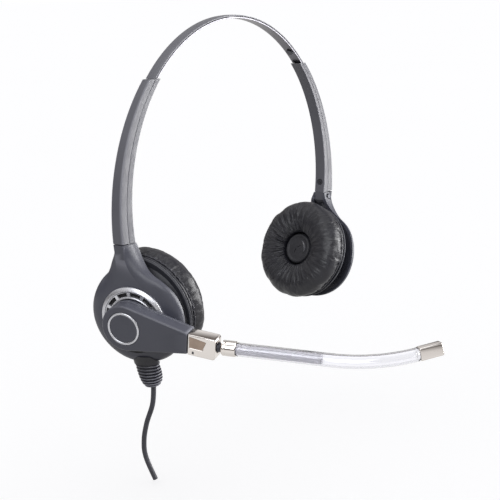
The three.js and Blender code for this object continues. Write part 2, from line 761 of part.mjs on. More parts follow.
function micCapsule() {
  return disc(1.9, 0, 2.4, 16).rotateY(Math.PI / 2).translate(BOOM_LENGTH + 2.2, 0, MIC_MID_DEPTH - 0.2);
}

// ---- voice tube -------------------------------------------------------------------
// Tube pieces: x along the tube from the ball centre, y up, z outward.

class TubePath extends THREE.Curve {
  constructor(from, to) {
    super();
    this.from = from;
    this.to = to;
  }

  getPoint(t, target = new THREE.Vector3()) {
    const s = mix(this.from, this.to, t);
    if (s <= TUBE_STRAIGHT) {
      return target.set(s, 0, 0);
    }
    const radius = TUBE_ARC / radians(TUBE_TURN_DEG);
    const angle = (s - TUBE_STRAIGHT) / radius;
    const sag = radius * (1 - Math.cos(angle));
    const plane = radians(TUBE_BEND_PLANE_DEG);
    return target.set(
      TUBE_STRAIGHT + radius * Math.sin(angle), sag * Math.sin(plane), -sag * Math.cos(plane));
  }
}

function tubeShape(outer, bore) {
  const shape = new THREE.Shape();
  shape.absarc(0, 0, outer, 0, 2 * Math.PI, false);
  if (bore > 0) {
    const hole = new THREE.Path();
    hole.absarc(0, 0, bore, 0, 2 * Math.PI, true);
    shape.holes.push(hole);
  }
  return shape;
}

function alongTube(shape, from, to, steps, curveSegments) {
  const options = { steps, bevelEnabled: false, curveSegments, extrudePath: new TubePath(from, to) };
  return closed(new THREE.ExtrudeGeometry(shape, options));
}

function voiceTube() {
  return alongTube(tubeShape(TUBE_RADIUS, TUBE_BORE), FERRULE_END + GAP, TUBE_STRAIGHT + TUBE_ARC - GAP, 12, 8);
}

function metalTube() {
  return alongTube(tubeShape(METAL_TUBE_RADIUS, METAL_TUBE_BORE), FERRULE_START + 2.4, METAL_TUBE_END, 1, 8);
}

// Turned about the tube's own X axis.
function alongX(profile, facets) {
  return turned(profile, facets).rotateY(Math.PI / 2);
}

function tubeBall() {
  const neck = 1.2;
  const seat = FERRULE_START + 1.7;
  const profile = [[0, seat], [neck, seat], ...ballProfile(BALL_TUBE_RADIUS, neck, 0)];
  return alongX(profile, 16);
}

function tubeFerrule() {
  const stepAt = FERRULE_START + 2.1;
  const profile = [
    [1.5, FERRULE_START], [FERRULE_RADIUS - 0.4, FERRULE_START], [FERRULE_RADIUS, FERRULE_START + 0.4],
    [FERRULE_RADIUS, FERRULE_END - 0.3], [FERRULE_RADIUS - 0.3, FERRULE_END],
    [METAL_TUBE_RADIUS + GAP, FERRULE_END], [METAL_TUBE_RADIUS + GAP, stepAt], [1.5, stepAt],
    [1.5, FERRULE_START],
  ];
  return alongX(profile, 24);
}

function tubeTip() {
  const end = TUBE_STRAIGHT + TUBE_ARC;
  const path = new TubePath(0, end);
  const seat = path.getPoint(1);
  const direction = path.getTangent(1);
  const outline = roundedBlock(-2.5, 2.5, -2.9, 2.9, [0.9, 0.9, 0.9, 0.9]);
  const body = prism(outline, 0, TIP_LENGTH, 3);
  const bore = disc(1.5, -1, TIP_LENGTH - 2.2, 12);
  const slot = block(1.6, 3.6, 6, 0.9, 0, TIP_LENGTH);
  const notch = block(3, 7, 2.2, 3.2, -2.2, TIP_LENGTH - 0.6);
  const turn = new THREE.Quaternion().setFromUnitVectors(point(0, 0, 1), direction);
  const tip = cut(body, bore, slot, notch).applyQuaternion(turn);
  return closed(tip.translate(seat.x, seat.y, seat.z));
}

// ---- cable --------------------------------------------------------------------------

// Ribbed boot below the cup: oval where it meets the cup and round where the cable leaves.
function strainRelief() {
  const profile = [[CABLE_RADIUS + 0.35, BOOT_TOP], [6.6, BOOT_TOP], [6.4, -22.4]];
  const ribTop = -23.2;
  const pitch = (BOOT_BOTTOM - ribTop) / BOOT_RIBS;
  for (let i = 0; i < BOOT_RIBS; i += 1) {
    const y = ribTop + i * pitch;
    const radius = mix(5.9, 2.5, smooth(i / (BOOT_RIBS - 1)));
    profile.push([radius - 0.7, y + pitch * 0.1], [radius, y + pitch * 0.4], [radius, y + pitch * 0.95]);
  }
  profile.push([CABLE_RADIUS + 0.35, BOOT_BOTTOM], [CABLE_RADIUS + 0.35, BOOT_TOP]);
  const boot = new THREE.LatheGeometry(profile.map(([r, y]) => new THREE.Vector2(r, y)), 16);
  const position = boot.attributes.position;
  for (let i = 0; i < position.count; i += 1) {
    const along = smooth((BOOT_TOP - position.getY(i)) / (BOOT_TOP - BOOT_BOTTOM));
    const radius = Math.hypot(position.getX(i), position.getZ(i));
    const squeeze = radius > CABLE_RADIUS + 0.5 ? mix(0.48, 1, along) : 1;
    position.setZ(i, position.getZ(i) * squeeze);
    position.setX(i, position.getX(i) + BOOT_LEAN * along);
  }
  boot.translate(0.8, 0, CABLE_DEPTH);
  const clearance = cupBody(-GAP, -GAP, GAP);
  return cut(closed(boot), clearance);
}

function cable() {
  const path = new THREE.CatmullRomCurve3([
    point(0.8 + BOOT_LEAN, BOOT_BOTTOM + 3, CABLE_DEPTH), point(0.8 + BOOT_LEAN, BOOT_BOTTOM - 1, CABLE_DEPTH),
    point(0.2, -44.8, CABLE_DEPTH), point(-4.6, -55, CABLE_DEPTH), point(-7.6, -64.5, CABLE_DEPTH),
    point(-8.1, -73.2, CABLE_DEPTH), point(-4.9, -85, CABLE_DEPTH),
  ]);
  const options = { steps: 24, bevelEnabled: false, curveSegments: 5, extrudePath: path };
  return closed(new THREE.ExtrudeGeometry(tubeShape(CABLE_RADIUS, 0), options));
}

// ---- assembly -------------------------------------------------------------------------

// side is -1 for the wearer's boom side and +1 for the other side.
const LEFT = -1;
const RIGHT = 1;
const SIDE_NAME = { [LEFT]: 'left', [RIGHT]: 'right' };

// Geometry drawn for the +X side, mirrored where the piece sits on the -X side.
function forSide(side, geometry) {
  return side === LEFT ? mirrored(geometry) : closed(geometry);
}

function headband() {
  const group = new THREE.Group();
  group.add(piece('headband_cover', bandCover(), armPlastic));
  group.add(piece('headband_strip', bandStrip(), springSteel));
  for (const side of [LEFT, RIGHT]) {
    group.add(piece(`headband_rivet_${SIDE_NAME[side]}`, rivet(side), darkSteel));
  }
  return group;
}

function arm(side) {
  const group = new THREE.Group();
  const name = SIDE_NAME[side];
  group.add(piece(`arm_outer_${name}`, forSide(side, armOuterShell()), armPlastic));
  group.add(piece(`arm_inner_${name}`, forSide(side, armInnerShell()), armPlastic));
  group.add(piece(`arm_screw_${name}`, forSide(side, armScrew()), darkSteel));
  group.add(piece(`hinge_block_${name}`, forSide(side, hingeBlock()), armPlastic));
  group.add(piece(`pivot_pin_${name}`, forSide(side, pivotPin()), darkSteel));
  return group;
}

// Nested groups from the pivot pin to the cup plane (x forward, y up, z outward on the left;
// the right cup's plane has x backward).
function cupPlane(side) {
  const tilt = side === LEFT ? LEFT_TILT_DEG : RIGHT_TILT_DEG;
  const atPin = new THREE.Group();
  atPin.position.set(side * PIN_X, 0, PIN_Z);
  atPin.rotation.y = side * radians(tilt);
  const toed = new THREE.Group();
  toed.position.set(side * CUP_OUTWARD, -CUP_FORWARD, -CUP_DROP);
  toed.rotation.z = -side * radians(CUP_TOE_DEG);
  const plane = new THREE.Group();
  const basis = new THREE.Matrix4().makeBasis(point(0, side, 0), point(0, 0, 1), point(side, 0, 0));
  plane.quaternion.setFromRotationMatrix(basis);
  toed.add(plane);
  atPin.add(toed);
  return { atPin, plane };
}

function speakerUnit(side) {
  const group = new THREE.Group();
  const name = SIDE_NAME[side];
  const yaw = side === LEFT ? SPEAKER_YAW_LEFT_DEG : SPEAKER_YAW_RIGHT_DEG;
  const nod = side === LEFT ? SPEAKER_NOD_LEFT_DEG : SPEAKER_NOD_RIGHT_DEG;
  group.position.z = BALL_DEPTH;
  group.rotation.set(radians(nod), -side * radians(yaw), 0, 'YXZ');
  group.add(piece(`speaker_housing_${name}`, speakerHousing(), blackPlastic));
  group.add(piece(`cushion_ring_${name}`, cushionRing(), blackPlastic));
  group.add(piece(`speaker_driver_${name}`, driver(), darkSteel));
  group.add(piece(`speaker_grille_${name}`, speakerGrille(), blackPlastic));
  group.add(piece(`ear_cushion_${name}`, earCushion(), leatherette));
  return group;
}

function voiceTubeAssembly() {
  const group = new THREE.Group();
  group.position.set(TUBE_BALL_AT, 0, MIC_MID_DEPTH);
  group.rotation.set(0, radians(TUBE_INWARD_DEG), radians(TUBE_LIFT_DEG), 'ZYX');
  group.add(piece('tube_ball', tubeBall(), darkSteel));
  group.add(piece('tube_ferrule', tubeFerrule(), brightChrome));
  group.add(piece('tube_metal_core', metalTube(), brightChrome));
  group.add(piece('voice_tube', voiceTube(), clearAcrylic));
  group.add(piece('tube_tip', tubeTip(), brightChrome));
  return group;
}

function boom() {
  const group = new THREE.Group();
  group.rotation.z = -radians(BOOM_DROOP_DEG);
  group.add(piece('boom_inner_housing', boomInnerHousing(), housingPlastic));
  group.add(piece('boom_outer_housing', boomOuterHousing(), housingPlastic));
  group.add(piece('boom_ring_inlay', boomInlay(), silverPaint));
  group.add(piece('boom_cap', boomCap(), housingPlastic));
  group.add(piece('boom_axle', boomAxle(), darkSteel));
  group.add(piece('mic_housing', micHousing(), brightChrome));
  group.add(piece('mic_capsule', micCapsule(), darkSteel));
  group.add(voiceTubeAssembly());
  return group;
}

function earCup(side) {
  const { atPin, plane } = cupPlane(side);
  const name = SIDE_NAME[side];
  const shell = side === LEFT ? closed(cupShell()) : mirrored(cupShell());
  plane.add(piece(`cup_shell_${name}`, shell, housingPlastic));
  plane.add(piece(`vent_ring_${name}`, ventRing(), silverPaint));
  plane.add(piece(`ball_bracket_${name}`, ballBracket(), blackPlastic));
  plane.add(speakerUnit(side));
  if (side === LEFT) {
    plane.add(piece('boom_hub', hubDisc(), housingPlastic));
    plane.add(piece('axle_washer', axleWasher(), springSteel));
    plane.add(boom());
    plane.add(piece('strain_relief', strainRelief(), cableRubber));
    plane.add(piece('cable', cable(), cableRubber));
  } else {
    plane.add(piece('cup_cap', cupCap(), housingPlastic));
    plane.add(piece('cap_washer', axleWasher(), springSteel));
  }
  return atPin;
}

const worn = new THREE.Group();
worn.position.z = -CROWN_Z;
worn.add(headband());
for (const side of [LEFT, RIGHT]) {
  worn.add(arm(side));
  worn.add(earCup(side));
}

const headset = new THREE.Group();
headset.add(worn);

export default headset;
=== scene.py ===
import json
import math
import random

import bmesh
import bpy
from mathutils import Matrix, Vector, noise


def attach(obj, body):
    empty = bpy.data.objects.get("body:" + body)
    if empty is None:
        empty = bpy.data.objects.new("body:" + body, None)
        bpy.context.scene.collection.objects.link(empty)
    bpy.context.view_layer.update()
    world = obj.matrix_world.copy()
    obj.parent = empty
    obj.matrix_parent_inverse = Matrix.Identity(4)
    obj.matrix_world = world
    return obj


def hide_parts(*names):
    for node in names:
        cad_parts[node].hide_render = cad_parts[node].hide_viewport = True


# Looks for the over-the-head office headset. Shapes are drawn in millimetres in a few
# local frames (cup plane, speaker unit, boom, voice tube, arch) that come from the
# packed joints, and placed in metres in the shared frame.

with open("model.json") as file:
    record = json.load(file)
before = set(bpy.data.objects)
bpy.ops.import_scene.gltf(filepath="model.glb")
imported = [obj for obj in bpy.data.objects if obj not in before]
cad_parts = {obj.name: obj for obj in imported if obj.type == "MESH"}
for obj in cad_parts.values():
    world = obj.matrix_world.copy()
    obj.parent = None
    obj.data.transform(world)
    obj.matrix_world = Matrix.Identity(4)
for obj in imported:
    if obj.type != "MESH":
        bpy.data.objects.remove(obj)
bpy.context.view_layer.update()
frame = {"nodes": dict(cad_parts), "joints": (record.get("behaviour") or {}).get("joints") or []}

MM = 0.001
SIDES = ((-1, "left"), (1, "right"))

# ---- driving dimensions, in millimetres and degrees ----

ARCH_RADIUS = 86.2
ARM_END_DROP = 11.6              # the arms' lower ends lie this far below the arch centre
ARM_LENGTH = 71.3                # from there up to the arms' upper end faces
SCREW_HEIGHT = 5.2
ARM_THICK = (5.1, 8.95)          # at the upper and the lower end
ARM_OUTER_HALF = (2.2, 3.05)
ARM_INNER_HALF = (3.1, 3.0)
ARM_SPLIT = -0.4                 # radial offset of the line between the arm's two halves
BAND_HALF = 2.85
COVER_OFFSETS = (-0.3, 0.4)
STRIP_OFFSETS = (-1.25, -0.6)
STRIP_TONGUE = (0.6, 78.0)       # width share and end angle of the part inside the arms
ARM_CHANNEL = (-1.55, 2.05)      # floor offset and half width of the way for that part
ARM_CHANNEL_SPAN = (36.0, 81.0)

CUP_FORWARD = 2.0
CUP_OUTWARD = 0.4
CUP_TOE = 11.5
CUP_TILT = {-1: 10.2, 1: 14.0}     # lean of the cut across the top of each neck
PIN_HEIGHT = 32.1
PIN_BELOW_ARM = 2.6
JOINT_GAP = 0.65
NECK_TOP = 38.0
NECK_HALF = 3.05
NECK_RIM_HALF = 3.3
NECK_OUTER = 5.45
NECK_INNER = -3.6
NECK_LOW = (25.5, 19.0)          # where the rim starts to deepen, on the back and forward side
FORK_HALF = (2.7, 2.3)           # half widths of the slot, and of its top beside the skirt
FORK_OUTER = 2.75                # outer end of the slot
SKIRT_SIZE = (1.5, 4.2, 2.6)     # tongue of the arm's outer shell that dips into the neck
SKIRT_AT = 86.3
PIN_HALF_LENGTH = 4.1
PIN_HEAD_ROOM = 1.65
HIDDEN_PIN_HALF = 3.2            # half length of the pin that does not show
PLATE_RADIUS = 15.0
PLATE_DEPTH = 6.5
RIM_RADIUS = 23.5
RIM_DEPTH = -0.5
RIM_FRONT_DEPTH = 2.2            # the rim stops further out on the forward side
WALL = 1.5
CUT_HEIGHT = 12                  # cutting shapes reach this far out through the plate
BOSS_RADIUS = 16.0
VENT_COUNT = 12
VENT_RADII = (11.7, 13.6)
VENT_ARC = 23.0
RING_BASE = 6.9
HUB_RADIUS = 10.2
HUB_TOP = 9.2
AXLE_HOLE = 2.9
SHADE_CRESCENT_SPAN = 66.0               # half of the angle that the crescent of painted shade covers
SHADE_CRESCENT_INNER = 10.3

BALL_INWARD = 2.9
SPEAKER_TURN = {"left": (-12.0, 4.0), "right": (-4.0, 3.5)}   # yaw and nod
SOCKET_RADIUS = 3.3
FLANGE_RADIUS = 22.7
BAFFLE_DEPTH = -4.3
CUSHION_RADIUS = 25.6
CUSHION_HOLE = 8.7
CUSHION_BACK = -5.7
CUSHION_FRONT = -18.2
SEAM_DEPTH = -7.5                # stitched seam on the cushion's side
SEAM_RADIUS = 24.85
SCALLOPS = 52                    # stitches round that seam
CLIP_RADIUS = 25.1
COVER_FRONT = -15.0              # front of the driver's cover inside the hole
CUSHION_SETTLE = {"left": (-0.4, 0.7, 1.0), "right": (0.0, 0.0, 0.0)}

BOOM_RADIUS = 10.9
BOOM_LENGTH = 31.3
BOOM_TIP_HALF = 5.2
BOOM_BASE = 9.5
BOOM_SPLIT = 11.2
BOOM_TOP = 17.3
INLAY_RADII = (6.75, 7.85)
MIC_START = BOOM_LENGTH + 0.3
MIC_END = 44.8
MIC_HALF = (5.2, 4.9)            # below and above the boom's axis
MIC_DEPTH = 13.5
TUBE_BALL_AT = 44.6
TUBE_BALL_RADIUS = 2.3

TUBE_STRAIGHT = 50.3
TUBE_ARC = 38.0
TUBE_TURN = 31.0
TUBE_BEND_PLANE = 16.0
TUBE_RADII = (2.55, 3.05)
CORE_RADII = (1.6, 2.25)
CORE_SPAN = (4.3, 46.5)
FERRULE_SPAN = (1.9, 8.4)
FERRULE_RADIUS = 3.5
TIP_LENGTH = 10.6
TIP_HALF = (2.5, 2.9)

BOOT_TOP = -19.0
BOOT_COLLAR = -23.2              # lower edge of its smooth collar
BOOT_BOTTOM = -34.6
BOOT_LEAN = 1.5
BOOT_FORWARD = 0.8
BOOT_RIBS = 8
CABLE_RADIUS = 1.2
CABLE_DEPTH = 3.3


# ---- small maths ----

def mix(a, b, t):
    return a + (b - a) * t


def ramp(value, start, end):
    """0 before start, 1 after end and a smooth rise between them."""
    t = min(1.0, max(0.0, (value - start) / (end - start)))
    return t * t * (3 - 2 * t)


def polar(radius, angle):
    return Vector((radius * math.cos(angle), radius * math.sin(angle)))


def swung(radius, height, angle):
    """Point at a radius and a height, turned about the local z axis."""
    return Vector((radius * math.cos(angle), radius * math.sin(angle), height))


def round_angles(count):
    return [2 * math.pi * k / count for k in range(count)]


def bezier(points, t):
    """Point on a Bezier curve of any degree."""
    while len(points) > 1:
        points = [a.lerp(b, t) for a, b in zip(points, points[1:])]
    return points[0]


def soften(points, radius, closed=False, steps=4):
    """Rounds each corner of an outline with a short arc."""
    result = []
    last = len(points) - 1
    for i, corner in enumerate(points):
        here = Vector(corner)
        if not closed and i in (0, last):
            result.append(here)
            continue
        before = Vector(points[i - 1]) - here
        after = Vector(points[(i + 1) % len(points)]) - here
        reach = min(radius, 0.45 * before.length, 0.45 * after.length)
        corners = [here + before.normalized() * reach, here, here + after.normalized() * reach]
        result += [bezier(corners, k / steps) for k in range(steps + 1)]
    return result


def smooth_curve(points, count, closed=False):
    """Evenly parametrised Catmull-Rom curve through the points."""
    last = len(points) if closed else len(points) - 1
    pick = (lambda i: points[i % len(points)]) if closed else (lambda i: points[min(max(i, 0), last)])
    result = []
    for k in range(count):
        s = last * k / (count if closed else count - 1)
        i = min(int(s), last - 1)
        t = s - i
        p0, p1, p2, p3 = (Vector(pick(i + d)) for d in (-1, 0, 1, 2))
        bend = (2 * p0 - 5 * p1 + 4 * p2 - p3) * t * t + (3 * p1 - p0 - 3 * p2 + p3) * t ** 3
        result.append(p1 + 0.5 * ((p2 - p0) * t + bend))
    return result


# ---- local frames ----

def joint(name):
    return next(j for j in frame["joints"] if j["name"] == name)


def local_frame(origin, x_axis, y_axis, z_axis):
    """Matrix from millimetres along three axes to metres in the shared frame."""
    turn = Matrix((x_axis, y_axis, z_axis)).transposed().to_4x4()
    return Matrix.Translation(origin) @ turn @ Matrix.Scale(MM, 4)


def cup_frame(side, name):
    """x forward on the left cup and backward on the right one, y up, z outward."""
    swivel = joint(f"speaker_{name}_swivel")
    up = Vector(swivel["axis"])
    toe = math.radians(CUP_TOE)
    level = side * Vector((up.z, 0, -up.x))
    outward = level * math.cos(toe) + Vector((0, -math.sin(toe), 0))
    origin = Vector(swivel["pos_m"]) + outward * BALL_INWARD * MM
    return local_frame(origin, up.cross(outward), up, outward)


def speaker_frame(side, name):
    """The cup frame moved to the ball centre and turned as the speaker unit is."""
    yaw, nod = (math.radians(a) for a in SPEAKER_TURN[name])
    turn = Matrix.Rotation(-side * yaw, 4, "Y") @ Matrix.Rotation(nod, 4, "X")
    return cup_frame(side, name) @ Matrix.Translation((0, 0, -BALL_INWARD)) @ turn


def boom_frame():
    """x along the boom, y up, z outward, at the boom's axle."""
    up = Vector(joint("tube_swivel")["axis"])
    outward = Vector(joint("boom_swing")["axis"])
    return local_frame(Vector(joint("boom_swing")["pos_m"]), up.cross(outward), up, outward)


def tube_frame():
    """x along the voice tube, y up, z outward, at the centre of its ball."""
    along = Vector(joint("tube_roll")["axis"])
    up = Vector(joint("boom_swing")["axis"]).cross(along).normalized()
    return local_frame(Vector(joint("tube_roll")["pos_m"]), along, up, along.cross(up))


ARCH_CENTRE_Z = joint("arm_left_extend")["pos_m"][2] / MM
ARM_END_Z = ARCH_CENTRE_Z - ARM_END_DROP
ARM_TOP_Z = ARM_END_Z + ARM_LENGTH
WORLD = Matrix.Scale(MM, 4)
CUP = {name: cup_frame(side, name) for side, name in SIDES}
SPEAKER = {name: speaker_frame(side, name) for side, name in SIDES}
CUSHION = {name: SPEAKER[name] @ Matrix.Translation(CUSHION_SETTLE[name]) for _, name in SIDES}
BOOM = boom_frame()
TUBE = tube_frame()
ALONG_X = Matrix.Rotation(math.pi / 2, 4, "Y")


# ---- mesh building ----

def loft(rings, looped=False, capped=True):
    """Skin over equal rings of points; looped joins the last ring to the first."""
    count = len(rings[0])
    vertices = [p for ring in rings for p in ring]
    faces = []
    for r in range(len(rings) if looped else len(rings) - 1):
        a = r * count
        b = (r + 1) % len(rings) * count
        faces += [(a + i, a + (i + 1) % count, b + (i + 1) % count, b + i) for i in range(count)]
    if capped and not looped:
        faces.append(tuple(range(count)))
        faces.append(tuple(range(len(vertices) - count, len(vertices))))
    return vertices, faces


def lathe(profile, facets=72, closed=False):
    """Turned shape about the local z axis from (radius, height) points."""
    rings = [[swung(r, z, a) for a in round_angles(facets)] for r, z in profile]
    return loft(rings, looped=closed)


def disc(radius, low, high, facets=48):
    return lathe([(radius, low), (radius, high)], facets)


def block(size, centre):
    half = Vector(size) / 2
    base = [(-1, -1), (1, -1), (1, 1), (-1, 1)]
    rings = [[Vector((x * half.x, y * half.y, z * half.z)) + Vector(centre) for x, y in base]
             for z in (-1, 1)]
    return loft(rings)


def ball(radius, facets):
    angles = [math.radians(degrees) for degrees in range(-88, 89, 8)]
    return lathe([(radius * math.cos(a), radius * math.sin(a)) for a in angles], facets)


def pillow(outline, low, high, fillet, low_fillet=None, steps=5, seat=()):
    """Plate between two heights with rounded edges; outline(inset) gives the plan.

    A seat is a list of (radius, height) circles sunk into the upper face.
    """
    below = fillet if low_fillet is None else low_fillet
    rings = []
    for radius, edge, direction in ((below, low, 1), (fillet, high, -1)):
        arc = []
        for k in range(steps + 1):
            angle = math.pi / 2 * k / steps
            height = edge + direction * radius * (1 - math.sin(angle))
            inset = radius * (1 - math.cos(angle))
            arc.append([Vector((p[0], p[1], height)) for p in outline(inset)])
        rings += arc[::-1] if direction == 1 else arc
    if seat:
        rings += [[swung(radius, height, math.atan2(p.y, p.x)) for p in rings[-1]]
                  for radius, height in seat]
    return loft(rings)


def solid(name, shape, turn=None):
    """Object in local millimetres with its faces turned outward."""
    vertices, faces = shape
    mesh = bpy.data.meshes.new(name)
    mesh.from_pydata(vertices, [], faces)
    if turn is not None:
        mesh.transform(turn)
    piece = bpy.data.objects.new(name, mesh)
    bpy.context.scene.collection.objects.link(piece)
    turn_outward(mesh)
    return piece


def turn_outward(mesh):
    work = bmesh.new()
    work.from_mesh(mesh)
    bmesh.ops.remove_doubles(work, verts=work.verts, dist=1e-6)
    bmesh.ops.recalc_face_normals(work, faces=work.faces)
    work.to_mesh(mesh)
    work.free()


def applied(piece):
    """Bakes the piece's modifiers into its mesh."""
    bpy.context.view_layer.update()
    evaluated = piece.evaluated_get(bpy.context.evaluated_depsgraph_get())
    mesh = bpy.data.meshes.new_from_object(evaluated)
    piece.modifiers.clear()
    piece.data = mesh
    return piece


def combine(piece, operation, shapes):
    """Joins shapes to the piece or cuts them from it."""
    for index, shape in enumerate(shapes):
        tool = shape if isinstance(shape, bpy.types.Object) else solid(f"tool_{index}", shape)
        modifier = piece.modifiers.new(f"{operation}_{index}", "BOOLEAN")
        modifier.operation = operation
        modifier.solver = "EXACT"
        modifier.object = tool
        applied(piece)
        bpy.data.objects.remove(tool)
    return piece


def bevelled(piece, width):
    modifier = piece.modifiers.new("edges", "BEVEL")
    modifier.width = width
    modifier.segments = 2
    modifier.limit_method = "ANGLE"
    modifier.angle_limit = math.radians(35)
    modifier.miter_outer = "MITER_ARC"
    return applied(piece)


def shade(mesh, sharp=32):
    mesh.polygons.foreach_set("use_smooth", [True] * len(mesh.polygons))
    mesh.set_sharp_from_angle(angle=math.radians(sharp))


EDGE_TURN_LIMIT = 0.7                  # edges that turn more than this, in radians, are left unlightened


def mark_edge_turn(mesh):
    """Stores how strongly each vertex lies on a rounded convex edge."""
    work = bmesh.new()
    work.from_mesh(mesh)
    edge_turn = [0.0] * len(work.verts)
    for edge in work.edges:
        angle = edge.calc_face_angle_signed(0.0)
        if angle < EDGE_TURN_LIMIT:
            for vertex in edge.verts:
                edge_turn[vertex.index] = max(edge_turn[vertex.index], angle)
    work.free()
    mesh.attributes.new("edge_turn", "FLOAT", "POINT").data.foreach_set("value", edge_turn)


def place(piece, matrix, material, body, nodes=(), sharp=32):
    """Moves a local solid into the shared frame, paints it and ties it to its body."""
    piece.data.transform(matrix)
    if matrix.determinant() < 0:
        turn_outward(piece.data)
    piece.data.materials.clear()
    piece.data.materials.append(material)
    shade(piece.data, sharp)
    mark_edge_turn(piece.data)
    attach(piece, body)
    if nodes:
        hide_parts(*nodes)
    return piece


def dress(node, material):
    """Gives a CAD node that is shown as it is its finish."""
    piece = frame["nodes"][node]
    piece.data.materials.clear()
    piece.data.materials.append(material)
    shade(piece.data)


# ---- materials ----

def srgb(red, green, blue):
    def linear(value):
        v = value / 255
        return v / 12.92 if v <= 0.04045 else ((v + 0.055) / 1.055) ** 2.4
    return (linear(red), linear(green), linear(blue), 1.0)


class Finish:
    """A Principled material with procedural colour, roughness and relief."""

    def __init__(self, name, colour, roughness, metallic=0.0):
        self.material = bpy.data.materials.new(name)
        self.material.use_nodes = True
        self.tree = self.material.node_tree
        self.shader = self.tree.nodes["Principled BSDF"]
        self.colour = colour
        self.coordinates = self.tree.nodes.new("ShaderNodeTexCoord").outputs["Object"]
        self.shader.inputs["Base Color"].default_value = colour
        self.shader.inputs["Roughness"].default_value = roughness
        self.shader.inputs["Metallic"].default_value = metallic
        self.relief = None

    def node(self, kind, **values):
        made = self.tree.nodes.new(kind)
        for key, value in values.items():
            setattr(made, key, value)
        return made

    def link(self, source, target):
        self.tree.links.new(source, target)

    def noise(self, scale, detail=3.0, stretch=(1, 1, 1)):
        """Noise with roughly 1/scale metres between its blots."""
        mapping = self.node("ShaderNodeMapping")
        mapping.inputs["Scale"].default_value = stretch
        texture = self.node("ShaderNodeTexNoise")
        texture.inputs["Scale"].default_value = scale
        texture.inputs["Detail"].default_value = detail
        self.link(self.coordinates, mapping.inputs["Vector"])
        self.link(mapping.outputs["Vector"], texture.inputs["Vector"])
        return texture.outputs["Fac"]

    def cells(self, scale):
        texture = self.node("ShaderNodeTexVoronoi", feature="F1")
        texture.inputs["Scale"].default_value = scale
        self.link(self.coordinates, texture.inputs["Vector"])
        return texture.outputs["Distance"]

    def remap(self, value, low, high, source=(0.3, 0.7)):
        remap = self.node("ShaderNodeMapRange")
        remap.inputs["From Min"].default_value = source[0]
        remap.inputs["From Max"].default_value = source[1]
        remap.inputs["To Min"].default_value = low
        remap.inputs["To Max"].default_value = high
        self.link(value, remap.inputs["Value"])
        return remap.outputs["Result"]

    def blend_colour(self, factor, other):
        """Mixes the present colour towards another one by a factor."""
        target = self.shader.inputs["Base Color"]
        blend = self.node("ShaderNodeMix", data_type="RGBA")
        if target.is_linked:
            self.link(target.links[0].from_socket, blend.inputs["A"])
        else:
            blend.inputs["A"].default_value = self.colour
        blend.inputs["B"].default_value = other
        self.link(factor, blend.inputs["Factor"])
        self.link(blend.outputs["Result"], target)

    def mottle(self, scale, amount):
        """Slow lightness changes over the surface."""
        lighter = tuple(min(1.0, c * (1 + amount)) for c in self.colour[:3]) + (1.0,)
        self.blend_colour(self.remap(self.noise(scale), 0, 1), lighter)

    def vary_roughness(self, scale, low, high, stretch=(1, 1, 1)):
        self.link(self.remap(self.noise(scale, stretch=stretch), low, high), self.shader.inputs["Roughness"])

    def emboss(self, height, distance, strength=1.0):
        """Adds one more layer of bump to the surface."""
        bump = self.node("ShaderNodeBump")
        bump.inputs["Distance"].default_value = distance
        bump.inputs["Strength"].default_value = strength
        self.link(height, bump.inputs["Height"])
        if self.relief is not None:
            self.link(self.relief, bump.inputs["Normal"])
        self.relief = bump.outputs["Normal"]
        self.link(self.relief, self.shader.inputs["Normal"])

    def gathered_creases(self, distance):
        """Fine creases along the pleats, from the attributes that the cushions carry."""
        along = self.node("ShaderNodeAttribute", attribute_name="streaks").outputs["Vector"]
        amount = self.node("ShaderNodeAttribute", attribute_name="gather").outputs["Fac"]
        texture = self.node("ShaderNodeTexNoise")
        texture.inputs["Scale"].default_value = 1.3
        texture.inputs["Detail"].default_value = 3.0
        self.link(along, texture.inputs["Vector"])
        sharp = self.remap(texture.outputs["Fac"], 0, 1, source=(0.42, 0.72))
        crease = self.node("ShaderNodeMath", operation="MULTIPLY")
        self.link(sharp, crease.inputs[0])
        self.link(amount, crease.inputs[1])
        self.emboss(crease.outputs["Value"], distance, 0.6)

    def worn_and_highlit_edges(self, colour, amount):
        """Lightens rounded convex edges a little: handling polish on the plastics and cushions, a painted
        highlight on the boot's rib crests.
        """
        edge_turn = self.node("ShaderNodeAttribute", attribute_name="edge_turn").outputs["Fac"]
        self.blend_colour(self.remap(edge_turn, 0, amount, source=(0.16, 0.45)), colour)


def moulded_plastic(name, colour, roughness, grain=0.00002):
    """Satin moulded plastic: fine spark texture, slow mottling and polished edges."""
    finish = Finish(name, colour, roughness)
    finish.mottle(60, 0.10)
    finish.vary_roughness(180, roughness - 0.05, roughness + 0.07)
    finish.emboss(finish.noise(5200, 2.0), grain, 0.35)
    finish.worn_and_highlit_edges(srgb(150, 150, 158), 0.35)
    finish.shader.inputs["Specular IOR Level"].default_value = 0.55
    return finish.material


def housing_plastic():
    return moulded_plastic("housing_plastic", srgb(62, 63, 72), 0.4)


def arm_plastic():
    return moulded_plastic("arm_plastic", srgb(82, 82, 88), 0.44)


def black_plastic():
    return moulded_plastic("black_plastic", srgb(38, 39, 45), 0.5, 0.00003)


def bright_chrome():
    """Plated chrome with faint polishing haze and hairline scratches."""
    finish = Finish("bright_chrome", srgb(228, 223, 219), 0.08, 1.0)
    finish.mottle(90, 0.04)
    finish.vary_roughness(700, 0.05, 0.13, (1, 6, 1))
    finish.emboss(finish.noise(900, 4.0, (1, 9, 1)), 0.000004, 0.25)
    return finish.material


def satin_steel():
    """Drawn steel tube with lengthwise drawing marks."""
    finish = Finish("satin_steel", srgb(205, 204, 210), 0.5, 0.5)
    finish.mottle(150, 0.05)
    finish.vary_roughness(800, 0.46, 0.56)
    finish.emboss(finish.noise(1400, 3.0), 0.000001, 0.3)
    return finish.material


